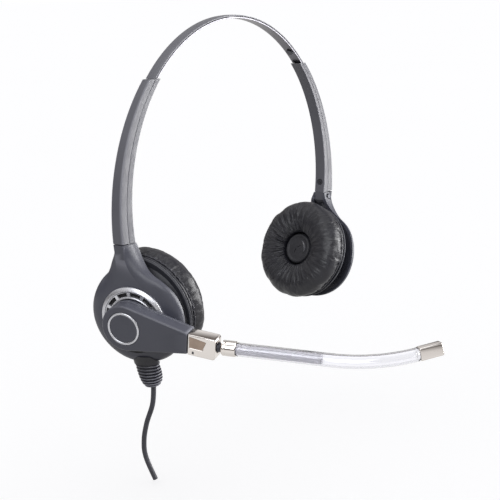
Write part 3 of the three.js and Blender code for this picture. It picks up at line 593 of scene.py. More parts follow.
def chrome_painted_reflection():
    """Chrome at the bottom of the window recess, with a brown reflection painted into its darker colour."""
    finish = Finish("chrome_painted_reflection", srgb(150, 134, 122), 0.16, 1.0)
    finish.mottle(260, 0.25)
    finish.vary_roughness(500, 0.12, 0.24)
    finish.emboss(finish.noise(1500, 2.0), 0.00001, 0.3)
    return finish.material


def silver_paint():
    """Metallic silver paint with fine flake."""
    finish = Finish("silver_paint", srgb(203, 204, 209), 0.3, 0.85)
    finish.mottle(120, 0.08)
    finish.vary_roughness(2600, 0.24, 0.38)
    finish.emboss(finish.cells(4200), 0.000001, 0.2)
    return finish.material


def spring_steel():
    """Rolled steel strip with long grinding marks."""
    finish = Finish("spring_steel", srgb(104, 103, 108), 0.42, 1.0)
    finish.mottle(140, 0.1)
    finish.vary_roughness(900, 0.24, 0.42, (1, 14, 1))
    finish.emboss(finish.noise(1300, 3.0, (1, 16, 1)), 0.000008, 0.3)
    return finish.material


def dark_steel():
    """Zinc-plated fasteners with a dull, blotched skin."""
    finish = Finish("dark_steel", srgb(72, 73, 78), 0.38, 0.9)
    finish.mottle(500, 0.2)
    finish.vary_roughness(1400, 0.3, 0.5)
    finish.emboss(finish.noise(2500, 2.0), 0.00001, 0.3)
    return finish.material


def leatherette():
    """Soft coated fabric: pebbled grain, fine cross creases and a dull sheen."""
    finish = Finish("ear_leatherette", srgb(22, 22, 28), 0.4)
    finish.mottle(160, 0.35)
    finish.vary_roughness(420, 0.34, 0.48)
    finish.emboss(finish.cells(1500), 0.00006, 0.5)
    finish.emboss(finish.noise(700, 5.0), 0.00008, 0.4)
    finish.gathered_creases(0.0009)
    finish.worn_and_highlit_edges(srgb(52, 52, 60), 0.35)
    return finish.material


def stitch_thread():
    finish = Finish("stitch_thread", srgb(44, 44, 50), 0.55)
    finish.mottle(900, 0.4)
    finish.vary_roughness(1500, 0.45, 0.65)
    finish.emboss(finish.noise(3800, 2.0), 0.00004, 0.6)
    return finish.material


def cable_rubber():
    """Matt rubber with a talc-like bloom."""
    finish = Finish("cable_rubber", srgb(46, 46, 52), 0.55)
    finish.mottle(300, 0.3)
    finish.vary_roughness(600, 0.46, 0.64)
    finish.emboss(finish.noise(2600, 3.0), 0.00003, 0.5)
    return finish.material


def boot_rubber():
    """Glossier black rubber, with a highlight painted onto its rib crests."""
    finish = Finish("boot_rubber", srgb(24, 24, 30), 0.32)
    finish.mottle(300, 0.3)
    finish.vary_roughness(600, 0.26, 0.4)
    finish.emboss(finish.noise(2600, 3.0), 0.00002, 0.4)
    # Painted highlight: the lighter rib crests stand in for light catching them.
    finish.worn_and_highlit_edges(srgb(120, 120, 130), 0.8)
    return finish.material


def clear_acrylic():
    """Clear tube with moulding ripples, with grey painted into its colour towards its edges as shade."""
    finish = Finish("clear_acrylic", (0.955, 0.955, 0.975, 1.0), 0.05)
    finish.mottle(200, 0.01)
    # Painted shade: the colour turns grey where the tube is seen at a grazing angle.
    grazing = finish.node("ShaderNodeLayerWeight")
    grazing.inputs["Blend"].default_value = 0.35
    edge = finish.remap(grazing.outputs["Facing"], 0, 0.9, source=(0.2, 0.9))
    finish.blend_colour(edge, (0.5, 0.5, 0.55, 1.0))
    finish.vary_roughness(400, 0.02, 0.06)
    finish.emboss(finish.noise(160, 2.0), 0.000003, 0.3)
    finish.shader.inputs["Transmission Weight"].default_value = 1.0
    finish.shader.inputs["IOR"].default_value = 1.49
    return finish.material


def foam_cover():
    """Thin black foam over the driver."""
    finish = Finish("foam_cover", srgb(27, 27, 32), 0.62)
    finish.mottle(700, 0.4)
    finish.vary_roughness(1200, 0.5, 0.7)
    finish.emboss(finish.cells(3000), 0.00006, 0.5)
    return finish.material


def dust_screen_and_shade():
    """Black woven screen; the crescent under the boom also takes this black as painted shade."""
    finish = Finish("dust_screen_and_shade", srgb(12, 12, 14), 0.8)
    finish.mottle(900, 0.5)
    finish.vary_roughness(1500, 0.7, 0.9)
    finish.emboss(finish.cells(2600), 0.00008, 0.7)
    return finish.material


HOUSING = housing_plastic()
ARM = arm_plastic()
BLACK = black_plastic()
CHROME = bright_chrome()
SATIN = satin_steel()
WINDOW_REFLECTION = chrome_painted_reflection()
SCREEN_AND_SHADE = dust_screen_and_shade()
FOAM = foam_cover()
SILVER = silver_paint()
SPRING = spring_steel()
DARK_STEEL = dark_steel()
LEATHER = leatherette()
THREAD = stitch_thread()
RUBBER = cable_rubber()
BOOT_RUBBER = boot_rubber()
ACRYLIC = clear_acrylic()


# ---- band and arms ----

def level_angle(offset, height):
    """Angle from the crown at which a circle of the arch crosses a height."""
    return math.acos((height - ARCH_CENTRE_Z) / (ARCH_RADIUS + offset))


def on_arch(offset, y, angle):
    radius = ARCH_RADIUS + offset
    return Vector((radius * math.sin(angle), y, ARCH_CENTRE_Z + radius * math.cos(angle)))


def arch_sweep(section_at, span_at, steps):
    """Sweeps a section of (offset, y) points; span_at gives each offset's two end angles."""
    rings = []
    for i in range(steps + 1):
        t = i / steps
        rings.append([on_arch(o, y, mix(*span_at(o), t)) for o, y in section_at(t)])
    return loft(rings)


def band_span(offset):
    end = level_angle(offset, ARM_TOP_Z + 0.15)
    return -end, end


def arm_span(offset):
    return level_angle(offset, ARM_TOP_Z), level_angle(offset, ARM_END_Z - 0.2)


def band_cover():
    """Slightly crowned cover strip over the spring."""
    low, high = COVER_OFFSETS
    outline = [(low, -BAND_HALF), (high - 0.18, -BAND_HALF), (high, -1.2), (high, 1.2),
               (high - 0.18, BAND_HALF), (low, BAND_HALF)]
    section = soften(outline, 0.16, closed=True, steps=3)
    piece = solid("band_cover", arch_sweep(lambda t: section, band_span, 96))
    place(piece, WORLD, ARM, "headband", ["headband_cover"])


def band_strip():
    """Bare spring strip under the cover."""
    low, high = STRIP_OFFSETS
    outline = [(low, -BAND_HALF), (high, -BAND_HALF), (high, BAND_HALF), (low, BAND_HALF)]
    section = soften(outline, 0.15, closed=True, steps=3)
    wide = solid("band_strip", arch_sweep(lambda t: section, band_span, 96))
    share, end = STRIP_TONGUE
    tongue = [(o, y * share) for o, y in section]
    reach = math.radians(end)
    combine(wide, "UNION", [arch_sweep(lambda t: tongue, lambda o: (-reach, reach), 96)])
    place(wide, WORLD, SPRING, "headband", ["headband_strip"])


def arm_half_width(t, offset):
    thick = mix(*ARM_THICK, t)
    return mix(mix(*ARM_INNER_HALF, t), mix(*ARM_OUTER_HALF, t), (offset + thick / 2) / thick)


def arm_section(t, low, high, corner_low, corner_high):
    """Half of the arm's wedge-shaped section with rounded outer corners."""
    outline = [(low, -arm_half_width(t, low)), (high, -arm_half_width(t, high)),
               (high, arm_half_width(t, high)), (low, arm_half_width(t, low))]
    rounded = []
    for i, corner in enumerate(outline):
        radius = corner_low if i in (0, 3) else corner_high
        rounded += soften([outline[i - 1], corner, outline[(i + 1) % 4]], radius, steps=5)[1:-1]
    return rounded


def arm_outer(side, name):
    def section(t):
        return arm_section(t, ARM_SPLIT + 0.1, mix(*ARM_THICK, t) / 2, 0.12, mix(0.8, 1.1, t))
    piece = solid(f"arm_{name}_outer_shell", arch_sweep(section, arm_span, 60))
    combine(piece, "UNION", [block(SKIRT_SIZE, (SKIRT_AT, 0, ARM_END_Z - 0.1))])
    place(piece, WORLD @ mirror(side), ARM, f"arm_{name}", [f"arm_outer_{name}"])


def arm_inner(side, name):
    def section(t):
        return arm_section(t, -mix(*ARM_THICK, t) / 2, ARM_SPLIT - 0.1, 0.45, 0.12)
    piece = solid(f"arm_{name}_inner_shell", arch_sweep(section, arm_span, 60))
    screw_z = ARM_END_Z + SCREW_HEIGHT
    screw_x = math.sqrt(ARCH_RADIUS ** 2 - (screw_z - ARCH_CENTRE_Z) ** 2)
    way = Matrix.Translation((screw_x, 0, screw_z)) @ Matrix.Rotation(-math.pi / 2, 4, "Y")
    recess = solid("screw_recess", lathe([(1.05, 0.2), (1.05, 3.1), (1.75, 3.1), (1.75, 7)], 40), way)
    low, half = ARM_CHANNEL
    span = [math.radians(angle) for angle in ARM_CHANNEL_SPAN]
    channel = solid("strip_channel", arch_sweep(
        lambda t: [(low, -half), (0, -half), (0, half), (low, half)], lambda o: span, 40))
    combine(piece, "DIFFERENCE", [recess, channel])
    place(piece, WORLD @ mirror(side), ARM, f"arm_{name}", [f"arm_inner_{name}"])


def mirror(side):
    return Matrix.Diagonal((side, 1, 1, 1))


# ---- ear cups ----

# Half outlines of the flat plate, of the rim's outer side and of its lip, as (half width of
# the neck, swell below it, height where it ends, radius, degrees where the circle starts,
# length of the curve's handles).
PLATE_SIDE = (NECK_HALF - 0.45, 0, 29, PLATE_RADIUS, 30, 8)
RIM_SIDE = (NECK_RIM_HALF, 2.0, 37, RIM_RADIUS, 56, 6)
LIP_SIDE = (NECK_RIM_HALF - 0.2, 0.7, 35, RIM_RADIUS, 56, 6)


def cup_side(shape, inset, side_inset):
    """Half outline from the neck to the lowest point, as (half width, height) points."""
    neck_half, swell, neck_start, radius, tangent, pull = shape
    neck_half -= side_inset
    neck_start -= inset
    radius -= inset
    angle = math.radians(tangent)
    touch = Vector((radius * math.cos(angle), radius * math.sin(angle)))
    lean = Vector((-math.sin(angle), math.cos(angle))) * pull
    corners = [Vector((neck_half, neck_start)), Vector((neck_half + swell, neck_start - pull)),
               touch + lean, touch]
    side = [Vector((neck_half, mix(NECK_TOP, neck_start, k / 3))) for k in range(3)]
    side += [bezier(corners, k / 18) for k in range(19)]
    side += [polar(radius, mix(angle, -math.pi / 2, k / 40)) for k in range(1, 41)]
    return side


def settle_neck(point):
    """Shifts the neck back and turns it square to the arm."""
    t = ramp(point.y, 10, 30)
    turn = math.radians(CUP_TOE) * t
    x = point.x - CUP_FORWARD * t
    return Vector((x * math.cos(turn) - point.z * math.sin(turn), point.y,
                   x * math.sin(turn) + point.z * math.cos(turn)))


def plate_depth(y, inset):
    return mix(PLATE_DEPTH, NECK_OUTER, ramp(y, 12, 36)) - inset


def rim_depth(point):
    """Depth of the open rim, shallower on the forward side and deeper at the neck."""
    forward = ramp(point.x, 0, 0.9 * RIM_RADIUS)
    low_neck = mix(*NECK_LOW, ramp(point.x, 0, 8))
    return mix(mix(RIM_DEPTH, RIM_FRONT_DEPTH, forward), NECK_INNER, ramp(point.y, low_neck, 30.5))


# Sections from the plate's edge to the rim as (spread, drop): fuller on the back side
# than on the forward side.
BACK_SECTION = [Vector((0, 0)), Vector((0.72, 0.05)), Vector((1, 0.2)), Vector((1, 1))]
FRONT_SECTION = [Vector((0, 0)), Vector((0.62, 0.12)), Vector((1, 0.26)), Vector((1, 1))]


def cup_rings(inset, side_inset, steps):
    """Rings from the flat plate round the flank to the rim."""
    sides = [cup_side(shape, inset, side_inset) for shape in (PLATE_SIDE, RIM_SIDE, LIP_SIDE)]
    return [cup_ring(k / steps, list(zip(*sides)), inset) for k in range(steps + 1)]


def cup_ring(t, stations, inset):
    """One closed ring at a fraction of the way from the plate to the rim."""
    front = [(station, 1) for station in stations]
    back = [(station, -1) for station in stations[-2::-1]]
    ring = []
    for (inner, outer, edge), sign in front + back:
        weight = ramp(sign * outer.x, -12, 12)
        spread, drop = bezier(BACK_SECTION, t).lerp(bezier(FRONT_SECTION, t), weight)
        q = inner.lerp(outer.lerp(edge, ramp(drop, 0.45, 1)), spread)
        q.x *= sign
        depth = mix(plate_depth(q.y, inset), rim_depth(q), drop)
        ring.append(settle_neck(Vector((q.x, q.y, depth))))
    return ring


def ladder_caps(rings):
    """Loft whose end faces are strips across the outline, so that they can bend."""
    vertices, faces = loft(rings, capped=False)
    count = len(rings[0])
    for start in (0, len(vertices) - count):
        half = count // 2
        faces += [tuple(start + j for j in (i, i + 1, count - 2 - i, count - 1 - i)) for i in range(half - 1)]
        faces.append(tuple(start + j for j in (half - 1, half, half + 1)))
    return vertices, faces


def square_to_arm(turn):
    """Hinge features turn back by the toe angle, as the neck does."""
    return Matrix.Rotation(-math.radians(CUP_TOE), 4, "Y") @ turn


def neck_top_cutter(side):
    lean = math.radians(CUP_TILT[side])
    below = PIN_BELOW_ARM - JOINT_GAP
    at = Matrix.Translation((-CUP_FORWARD, PIN_HEIGHT + below * math.cos(lean),
                             -CUP_OUTWARD - below * math.sin(lean)))
    turn = square_to_arm(at @ Matrix.Rotation(-lean, 4, "X"))
    return solid("neck_top", block((40, 20, 40), (0, 10, 0)), turn)


def fork_slot():
    """Slot for the hinge block, with a narrower notch for the arm's skirt."""
    slot = block((2 * FORK_HALF[0], 14, 12), (-CUP_FORWARD, 33, FORK_OUTER - 6))
    notch = block((2 * FORK_HALF[1], 8, 6), (-CUP_FORWARD, 36.5, NECK_OUTER - WALL - 3))
    turn = square_to_arm(Matrix.Identity(4))
    return combine(solid("fork_slot", slot, turn), "UNION", [solid("skirt_notch", notch, turn)])


def along_pin():
    """Frame of the cup's pivot pin, with z along the pin."""
    return square_to_arm(Matrix.Translation((-CUP_FORWARD, PIN_HEIGHT, -CUP_OUTWARD)) @ ALONG_X)


def pin_bore():
    """Blind bore that hides the pivot pin inside the neck."""
    return solid("pin_bore", disc(1.2, -HIDDEN_PIN_HALF, HIDDEN_PIN_HALF, 40), along_pin())


def pin_way():
    """Bore for the pivot pin with a counterbore for each head."""
    inner = PIN_HALF_LENGTH - 0.3
    profile = [(PIN_HEAD_ROOM, -9), (PIN_HEAD_ROOM, -inner), (1.2, -inner), (1.2, inner),
               (PIN_HEAD_ROOM, inner), (PIN_HEAD_ROOM, 9)]
    return solid("pin_way", lathe(profile, 40), along_pin())


def vent_slots():
    """The ring of slots as one cutting shape."""
    half = math.radians(VENT_ARC) / 2
    slots = []
    for i in range(VENT_COUNT):
        middle = (i + 0.5) * 2 * math.pi / VENT_COUNT
        arc = [mix(-half, half, k / 8) for k in range(9)]
        outline = [(VENT_RADII[1], middle + a) for a in arc] + [(VENT_RADII[0], middle - a) for a in arc]
        slots.append(loft([[swung(r, z, a) for r, a in outline] for z in (0, CUT_HEIGHT)]))
    return merged(slots)


def merged(shapes):
    """Several separate shapes as one."""
    vertices = []
    faces = []
    for more_vertices, more_faces in shapes:
        offset = len(vertices)
        vertices += more_vertices
        faces += [tuple(i + offset for i in face) for face in more_faces]
    return vertices, faces


def cup_shell(side, name):
    """Pear-shaped shell with a fork at the top, an open rim and a vented boss."""
    piece = solid(f"cup_{name}_shell", ladder_caps(cup_rings(0, 0, 18)))
    boss_top = PLATE_DEPTH + 0.1
    boss = soften([(BOSS_RADIUS, 1.5), (BOSS_RADIUS, boss_top), (8, boss_top)], 0.4)
    combine(piece, "UNION", [lathe(boss, 96)])
    hollow = cup_rings(WALL, WALL, 12)
    hollow.append([p + Vector((0, 0, -4)) for p in hollow[-1]])
    room = disc(BOSS_RADIUS - WALL, -2, PLATE_DEPTH - WALL, 72)
    combine(piece, "DIFFERENCE", [
        ladder_caps(hollow), room, fork_slot(), neck_top_cutter(side),
        pin_bore() if side < 0 else pin_way(), disc(AXLE_HOLE, 0, CUT_HEIGHT), vent_slots()])
    place(piece, CUP[name] @ mirror(-side), HOUSING,
          f"cup_{name}", [f"cup_shell_{name}"], sharp=17)


def hidden_pin():
    """Plain pin of the boom side, covered at both ends by the neck."""
    profile = soften([(0.9, 0.1 - HIDDEN_PIN_HALF), (0.9, HIDDEN_PIN_HALF - 0.1)], 0.1)
    piece = solid("pivot_pin_hidden", lathe(profile, 32), along_pin())
    bevelled(piece, 0.15)
    place(piece, CUP["left"], DARK_STEEL, "arm_left", ["pivot_pin_left"])


def vent_felt(name):
    """Dark dust screen behind the slots."""
    low = RING_BASE - 0.28
    high = RING_BASE - 0.02
    outline = [(11.0, low), (14.4, low), (14.4, high), (11.0, high)]
    piece = solid(f"vent_{name}_screen", lathe(soften(outline, 0.08, closed=True), 72, closed=True))
    place(piece, CUP[name], SCREEN_AND_SHADE, f"cup_{name}")


def vent_ring(name):
    """Silver ring with a rounded outer edge, a row of slots and a thin inner lip."""
    outline = [(10.6, RING_BASE), (BOSS_RADIUS, RING_BASE), (BOSS_RADIUS, RING_BASE + 0.55),
               (14.3, RING_BASE + 1.5), (13.9, RING_BASE + 1.1), (11.4, RING_BASE + 1.1),
               (11.2, RING_BASE + 1.5), (10.6, RING_BASE + 1.4)]
    piece = solid(f"vent_ring_{name}_trim", lathe(soften(outline, 0.3, closed=True), 144, closed=True))
    combine(piece, "DIFFERENCE", [vent_slots()])
    place(piece, CUP[name], SILVER, f"cup_{name}", [f"vent_ring_{name}"])


def boom_hub():
    """Round base that the boom turns on."""
    outline = soften([(AXLE_HOLE, RING_BASE), (HUB_RADIUS, RING_BASE), (HUB_RADIUS, HUB_TOP),
                      (AXLE_HOLE, HUB_TOP)], 0.35, closed=True)
    piece = solid("boom_hub_base", lathe(outline, 96, closed=True))
    place(piece, CUP["left"], HOUSING, "cup_left", ["boom_hub"])


def hub_shade_crescent():
    """Very dark crescent over the lower half of the ring, under the boom: painted shade for the boom's shadow
    there.
    """
    low, high = RING_BASE + 1.2, HUB_TOP
    middle = math.radians(-90)
    rings = []
    for k in range(49):
        angle = middle + math.radians(mix(-SHADE_CRESCENT_SPAN, SHADE_CRESCENT_SPAN, k / 48))
        outer = mix(11.0, BOSS_RADIUS - 0.3, math.sin(math.pi * k / 48) ** 0.5)
        section = [(SHADE_CRESCENT_INNER, low), (outer, low), (outer, high - 0.2), (SHADE_CRESCENT_INNER, high)]
        rings.append([swung(q.x, q.y, angle) for q in soften(section, 0.2, closed=True)])
    # The crescent's near-black colour paints in the boom's shadow on the ring.
    place(solid("boom_hub_shade_crescent", loft(rings)), CUP["left"], SCREEN_AND_SHADE, "cup_left")


def cup_cap():
    """Domed cap in place of the boom on the plain cup."""
    dome = [(2.6, 3.6), (2.6, RING_BASE), (HUB_RADIUS, RING_BASE), (HUB_RADIUS, 8.3),
            (9.3, 8.95), (0.5, 9.0)]
    piece = solid("cup_cap_cover", lathe(soften(dome, 0.5, steps=6), 96))
    groove = [(7.0, 8.7), (7.4, 8.7), (7.6, 10), (6.8, 10)]
    combine(piece, "DIFFERENCE", [lathe(groove, 96, closed=True)])
    place(piece, CUP["right"], HOUSING, "cup_right", ["cup_cap"])


# ---- speaker units ----

def speaker_bowl(name):
    """Rounded back of the speaker unit with its socket and front flange."""
    profile = [(2.3, 1.8), (14, 1.8), (17.4, 0.5), (20.4, -1.8), (FLANGE_RADIUS, -3.5),
               (FLANGE_RADIUS, BAFFLE_DEPTH), (21, BAFFLE_DEPTH), (16.6, -0.2), (13.6, 0.6),
               (5.4, 0.6), (5.4, -4.0), (2.3, -4.0)]
    piece = solid(f"speaker_{name}_bowl", lathe(soften(profile, 0.9, closed=True, steps=5), 112, closed=True))
    combine(piece, "DIFFERENCE", [ball(SOCKET_RADIUS, 40)])
    place(piece, SPEAKER[name], BLACK, f"speaker_{name}", [f"speaker_housing_{name}"])


def cushion_clip(name):
    """Thin ring that holds the cushion's skirt; its edge shows as a fine line."""
    face = BAFFLE_DEPTH + 0.1
    outline = [(10, face - 0.4), (21, face - 0.4), (21, face - 1.25), (CLIP_RADIUS - 0.3, face - 1.25),
               (CLIP_RADIUS, face - 0.9), (CLIP_RADIUS - 0.5, face), (10, face)]
    piece = solid(f"cushion_{name}_clip", lathe(soften(outline, 0.2, closed=True), 160, closed=True))
    place(piece, CUSHION[name], BLACK, f"speaker_{name}", [f"cushion_ring_{name}"])


def speaker_face(name):
    """Dished cover of the driver with two fine slits and a silver crescent that paints in a glint off the
    cover.
    """
    back = BAFFLE_DEPTH - 3.9
    front = COVER_FRONT
    outline = [(8.2, back), (8.2, front + 1.3), (7.6, front + 0.2), (6.8, front), (6.0, front + 0.7),
               (3.0, front + 0.5), (0.4, front + 0.35)]
    piece = solid(f"speaker_{name}_face", lathe(soften(outline, 0.4, steps=5), 96))
    # Painted highlight: a thin silver crescent where the domed cover catches a glint.
    crescent = []
    for k in range(25):
        angle = math.radians(mix(112, 205, k / 24))
        half = 0.06 + 0.3 * math.sin(math.pi * k / 24)
        inner, outer = 4.6 - half, 4.6 + half
        corners = ((inner, front + 1), (inner, front + 0.4), (outer, front + 0.1), (outer, front + 1))
        crescent.append([swung(r, z, angle) for r, z in corners])
    painted_glint = solid(f"speaker_{name}_ridge", loft(crescent))
    cuts = [solid("slit", block((0.4, 2.6, 1.6), (x, y, front)), Matrix.Rotation(math.radians(turn), 4, "Z"))
            for x, y, turn in ((0.6, 1.4, 60), (1.0, -1.6, 20))]
    combine(piece, "DIFFERENCE", cuts)
    place(piece, CUSHION[name], FOAM, f"speaker_{name}", [f"speaker_grille_{name}"])
    place(painted_glint, CUSHION[name], SILVER, f"speaker_{name}")


def cushion_profile(shrink):
    """Closed section of the ring cushion: flat back, full roll, dished face, crisp hole."""
    mid = (CUSHION_BACK + CUSHION_FRONT) / 2
    points = [(24.3, CUSHION_BACK), (24.75, SEAM_DEPTH), (CUSHION_RADIUS - 0.3, mid + 2.6),
              (CUSHION_RADIUS, mid - 0.8), (CUSHION_RADIUS - 2.2, CUSHION_FRONT + 1.7), (18.8, CUSHION_FRONT),
              (12.4, CUSHION_FRONT + 0.9), (9.6, CUSHION_FRONT + 2.2), (CUSHION_HOLE, CUSHION_FRONT + 4.2),
              (CUSHION_HOLE, mid + 1), (CUSHION_HOLE + 0.5, CUSHION_BACK), (16.5, CUSHION_BACK - 0.1)]
    centre = Vector((17, mid))
    return [centre + (Vector(p) - centre) * shrink for p in points]


CUSHION_SCALE = 0.01             # the cloth is simulated ten times larger than life
CUSHION_FACETS = 200


def puffed_cushion():
    """Cloth simulation of the cushion's skin, pressed out between its seams."""
    curve = smooth_curve(cushion_profile(0.97), 54, closed=True)
    rng = random.Random(11)
    piece = solid("cushion_cloth", lathe(curve, CUSHION_FACETS, closed=True))
    for vertex in piece.data.vertices:
        vertex.co += Vector((rng.uniform(-1, 1), rng.uniform(-1, 1), rng.uniform(-1, 1))) * 0.05
    piece.data.transform(Matrix.Scale(CUSHION_SCALE, 4))
    rest = [v.co.copy() for v in piece.data.vertices]
    held = piece.vertex_groups.new(name="held")
    for vertex in piece.data.vertices:
        radius, depth = seam_place(vertex.co)
        hold = max(ramp(depth, SEAM_DEPTH - 1.2, SEAM_DEPTH + 0.1),
                   ramp(-radius, -CUSHION_HOLE - 0.9, -CUSHION_HOLE - 0.3))
        held.add([vertex.index], hold, "REPLACE")
    cloth = piece.modifiers.new("cloth", "CLOTH")
    cloth.settings.vertex_group_mass = "held"
    cloth.settings.use_pressure = True
    cloth.settings.uniform_pressure_force = 4
    cloth.settings.effector_weights.gravity = 0
    cloth.settings.shrink_min = -0.04
    cloth.settings.quality = 6
    scene = bpy.context.scene
    for number in range(1, 21):
        scene.frame_set(number)
    applied(piece)
    scene.frame_set(1)
    return piece, rest


def seam_place(point):
    """Radius and depth in millimetres of a point of the enlarged cushion."""
    return math.hypot(point.x, point.y) / CUSHION_SCALE, point.z / CUSHION_SCALE


def capped(piece, rest, limit):
    """Keeps each simulated point within a distance of where it started."""
    for vertex, start in zip(piece.data.vertices, rest):
        move = vertex.co - start
        if move.length > limit:
            vertex.co = start + move * (limit / move.length)


PLEAT_ROWS = (
    # pleats round the ring, their height, and the radii between which they run
    (48, 0.90, CUSHION_HOLE, 18.5),
    (31, 0.85, CUSHION_HOLE, 25.0),
    (83, 0.45, CUSHION_HOLE, 16.0),
    (57, 0.45, 16.5, 25.5),
)


def pleat_tables(seed):
    """Random strength, lean and length for every pleat, the same on each run."""
    rng = random.Random(seed)
    return [[(rng.uniform(0.15, 1.0) ** 1.3, rng.uniform(-1, 1), rng.uniform(0.75, 1.0))
             for _ in range(row[0])] for row in PLEAT_ROWS]


def pleat_height(radius, angle, tables):
    """Height of the gathered folds that radiate from the hole."""
    total = 0.0
    turn = angle / (2 * math.pi) % 1.0
    for (count, height, start, end), table in zip(PLEAT_ROWS, tables):
        position = turn * count
        index = int(position) % count
        strength, lean, length = table[index]
        across = position - int(position) + lean * 0.12 * math.sin(radius * 0.45 + lean)
        fold = math.sin(math.pi * min(1.0, max(0.0, across))) ** 5
        stop = mix(start, end, length)
        fade = ramp(radius, start, start + 1.6) * (1 - ramp(radius, mix(start, stop, 0.6), stop))
        total += height * strength * fold * fade
    return total


def gathered(piece, seed, calm_angle):
    """Adds pleats on the face, puckers at the side seam and slow unevenness."""
    tables = pleat_tables(seed)
    mesh = piece.data
    normals = [v.normal.copy() for v in mesh.vertices]
    along = []
    amount = []
    for vertex, normal in zip(mesh.vertices, normals):
        p = vertex.co
        radius = math.hypot(p.x, p.y)
        angle = math.atan2(p.y, p.x)
        front = ramp(-p.z, -CUSHION_BACK + 5, -CUSHION_BACK + 9.5)
        calm = 0.18 + 0.82 * (0.5 - 0.5 * math.cos(angle - calm_angle)) ** 0.8
        lift = pleat_height(radius, angle, tables) * front * calm
        along += (9 * math.cos(angle), 9 * math.sin(angle), 0.09 * radius + seed)
        amount.append(front * calm)
        outside = ramp(radius, 22.5, 24.5)
        past_seam = ramp(-p.z, -SEAM_DEPTH, 0.3 - SEAM_DEPTH)
        near_seam = past_seam * (1 - ramp(-p.z, 0.6 - SEAM_DEPTH, 4.5 - SEAM_DEPTH))
        lift += 0.4 * (abs(math.sin(angle * SCALLOPS / 2)) ** 0.6 - 0.6) * near_seam * outside
        lumps = noise.noise(Vector((math.cos(angle) * 4.2, math.sin(angle) * 4.2, seed)))
        lift += 0.4 * lumps * outside * front
        uneven = noise.noise(Vector((p.x, p.y, p.z)) * 0.16 + Vector((seed, 0, 0)))
        lift += 0.4 * uneven * ramp(radius, CUSHION_HOLE, CUSHION_HOLE + 3)
        vertex.co = p + normal * lift
    mesh.attributes.new("streaks", "FLOAT_VECTOR", "POINT").data.foreach_set("vector", along)
    mesh.attributes.new("gather", "FLOAT", "POINT").data.foreach_set("value", amount)


def refined(piece):
    modifier = piece.modifiers.new("finer", "SUBSURF")
    modifier.levels = 1
    modifier.render_levels = 1
    return applied(piece)


def ear_cushion(name, source, seed, calm_angle):
    piece = bpy.data.objects.new(f"cushion_{name}", source.data.copy())
    bpy.context.scene.collection.objects.link(piece)
    refined(piece)
    gathered(piece, seed, calm_angle)
    place(piece, CUSHION[name], LEATHER,
          f"speaker_{name}", [f"ear_cushion_{name}"], sharp=180)


def ear_cushions():
    source, rest = puffed_cushion()
    capped(source, rest, 1.1 * CUSHION_SCALE)
    source.data.transform(Matrix.Scale(1 / CUSHION_SCALE, 4))
    ear_cushion("left", source, 3, math.radians(90))
    ear_cushion("right", source, 8, math.radians(195))
    bpy.data.objects.remove(source)


def seam_cord(name):
    """Scalloped row of stitches along the cushion's back edge."""
    per_scallop = 10
    rings = []
    for i, angle in enumerate(round_angles(SCALLOPS * per_scallop)):
        swell = abs(math.sin(math.pi * i / per_scallop)) ** 0.6
        thick = mix(0.14, 0.36, swell)
        centre = Vector((SEAM_RADIUS, SEAM_DEPTH + 0.25 - 0.45 * swell))
        ring = [centre + polar(thick, a) for a in round_angles(10)]
        rings.append([swung(q.x, q.y, angle) for q in ring])
    piece = solid(f"cushion_{name}_stitches", loft(rings, looped=True))
    place(piece, CUSHION[name], THREAD, f"speaker_{name}")


# ---- boom ----

def boom_plan(inset):
    """Round end, tapering sides and a square tip with small corners."""
    radius = BOOM_RADIUS - inset
    tip = BOOM_TIP_HALF - inset
    length = BOOM_LENGTH - inset * 0.5
    start = math.pi / 2 - math.asin((radius - tip) / length)
    arc = [polar(radius, mix(start, 2 * math.pi - start, k / 80)) for k in range(81)]
    corner = 0.35
    low = Vector((length - corner, -tip))
    high = Vector((length - corner, tip))
    lower_side = [arc[-1].lerp(low, k / 24) for k in range(1, 25)]
    upper_side = [high.lerp(arc[0], k / 24) for k in range(24)]
    nose = [Vector((length, mix(corner - tip, tip - corner, k / 8))) for k in range(9)]
    return arc + lower_side + nose + upper_side


def boom_back():
    piece = solid("boom_back_plate", pillow(boom_plan, BOOM_BASE, BOOM_SPLIT - 0.15, 0.2, 0.6))
    combine(piece, "DIFFERENCE", [disc(AXLE_HOLE, 0, 20)])
    place(piece, BOOM, HOUSING, "boom", ["boom_inner_housing"])


def boom_front():
    """Outer housing with a soft edge and a round seat for the ring."""
    edge = INLAY_RADII[1] + 0.12
    seat = [(edge + 0.15, BOOM_TOP), (edge, BOOM_TOP - 0.15), (edge, BOOM_TOP - 0.8)]
    piece = solid("boom_front_cover", pillow(boom_plan, BOOM_SPLIT, BOOM_TOP, 0.85, 0.2, 7, seat))
    room = pillow(lambda inset: boom_plan(1.6 + inset), BOOM_SPLIT - 1, BOOM_TOP - 1.6, 0.2)
    combine(piece, "DIFFERENCE", [room])
    place(piece, BOOM, HOUSING, "boom", ["boom_outer_housing"])


def boom_ring():
    inner, outer = INLAY_RADII
    base = BOOM_TOP - 0.5
    outline = [(inner, base), (outer, base), (outer, BOOM_TOP + 0.08), (inner + 0.55, BOOM_TOP + 0.34),
               (inner, BOOM_TOP + 0.08)]
    piece = solid("boom_ring_trim", lathe(soften(outline, 0.25, closed=True), 144, closed=True))
    place(piece, BOOM, SILVER, "boom", ["boom_ring_inlay"])


def boom_button():
    """Slightly dished disc inside the ring."""
    edge = INLAY_RADII[0] - 0.15
    profile = [(edge, BOOM_TOP - 0.5), (edge, BOOM_TOP - 0.05),
               (edge - 1.2, BOOM_TOP - 0.14), (0.4, BOOM_TOP - 0.3)]
    piece = solid("boom_button", lathe(soften(profile, 0.2), 112))
    place(piece, BOOM, HOUSING, "boom", ["boom_cap"])


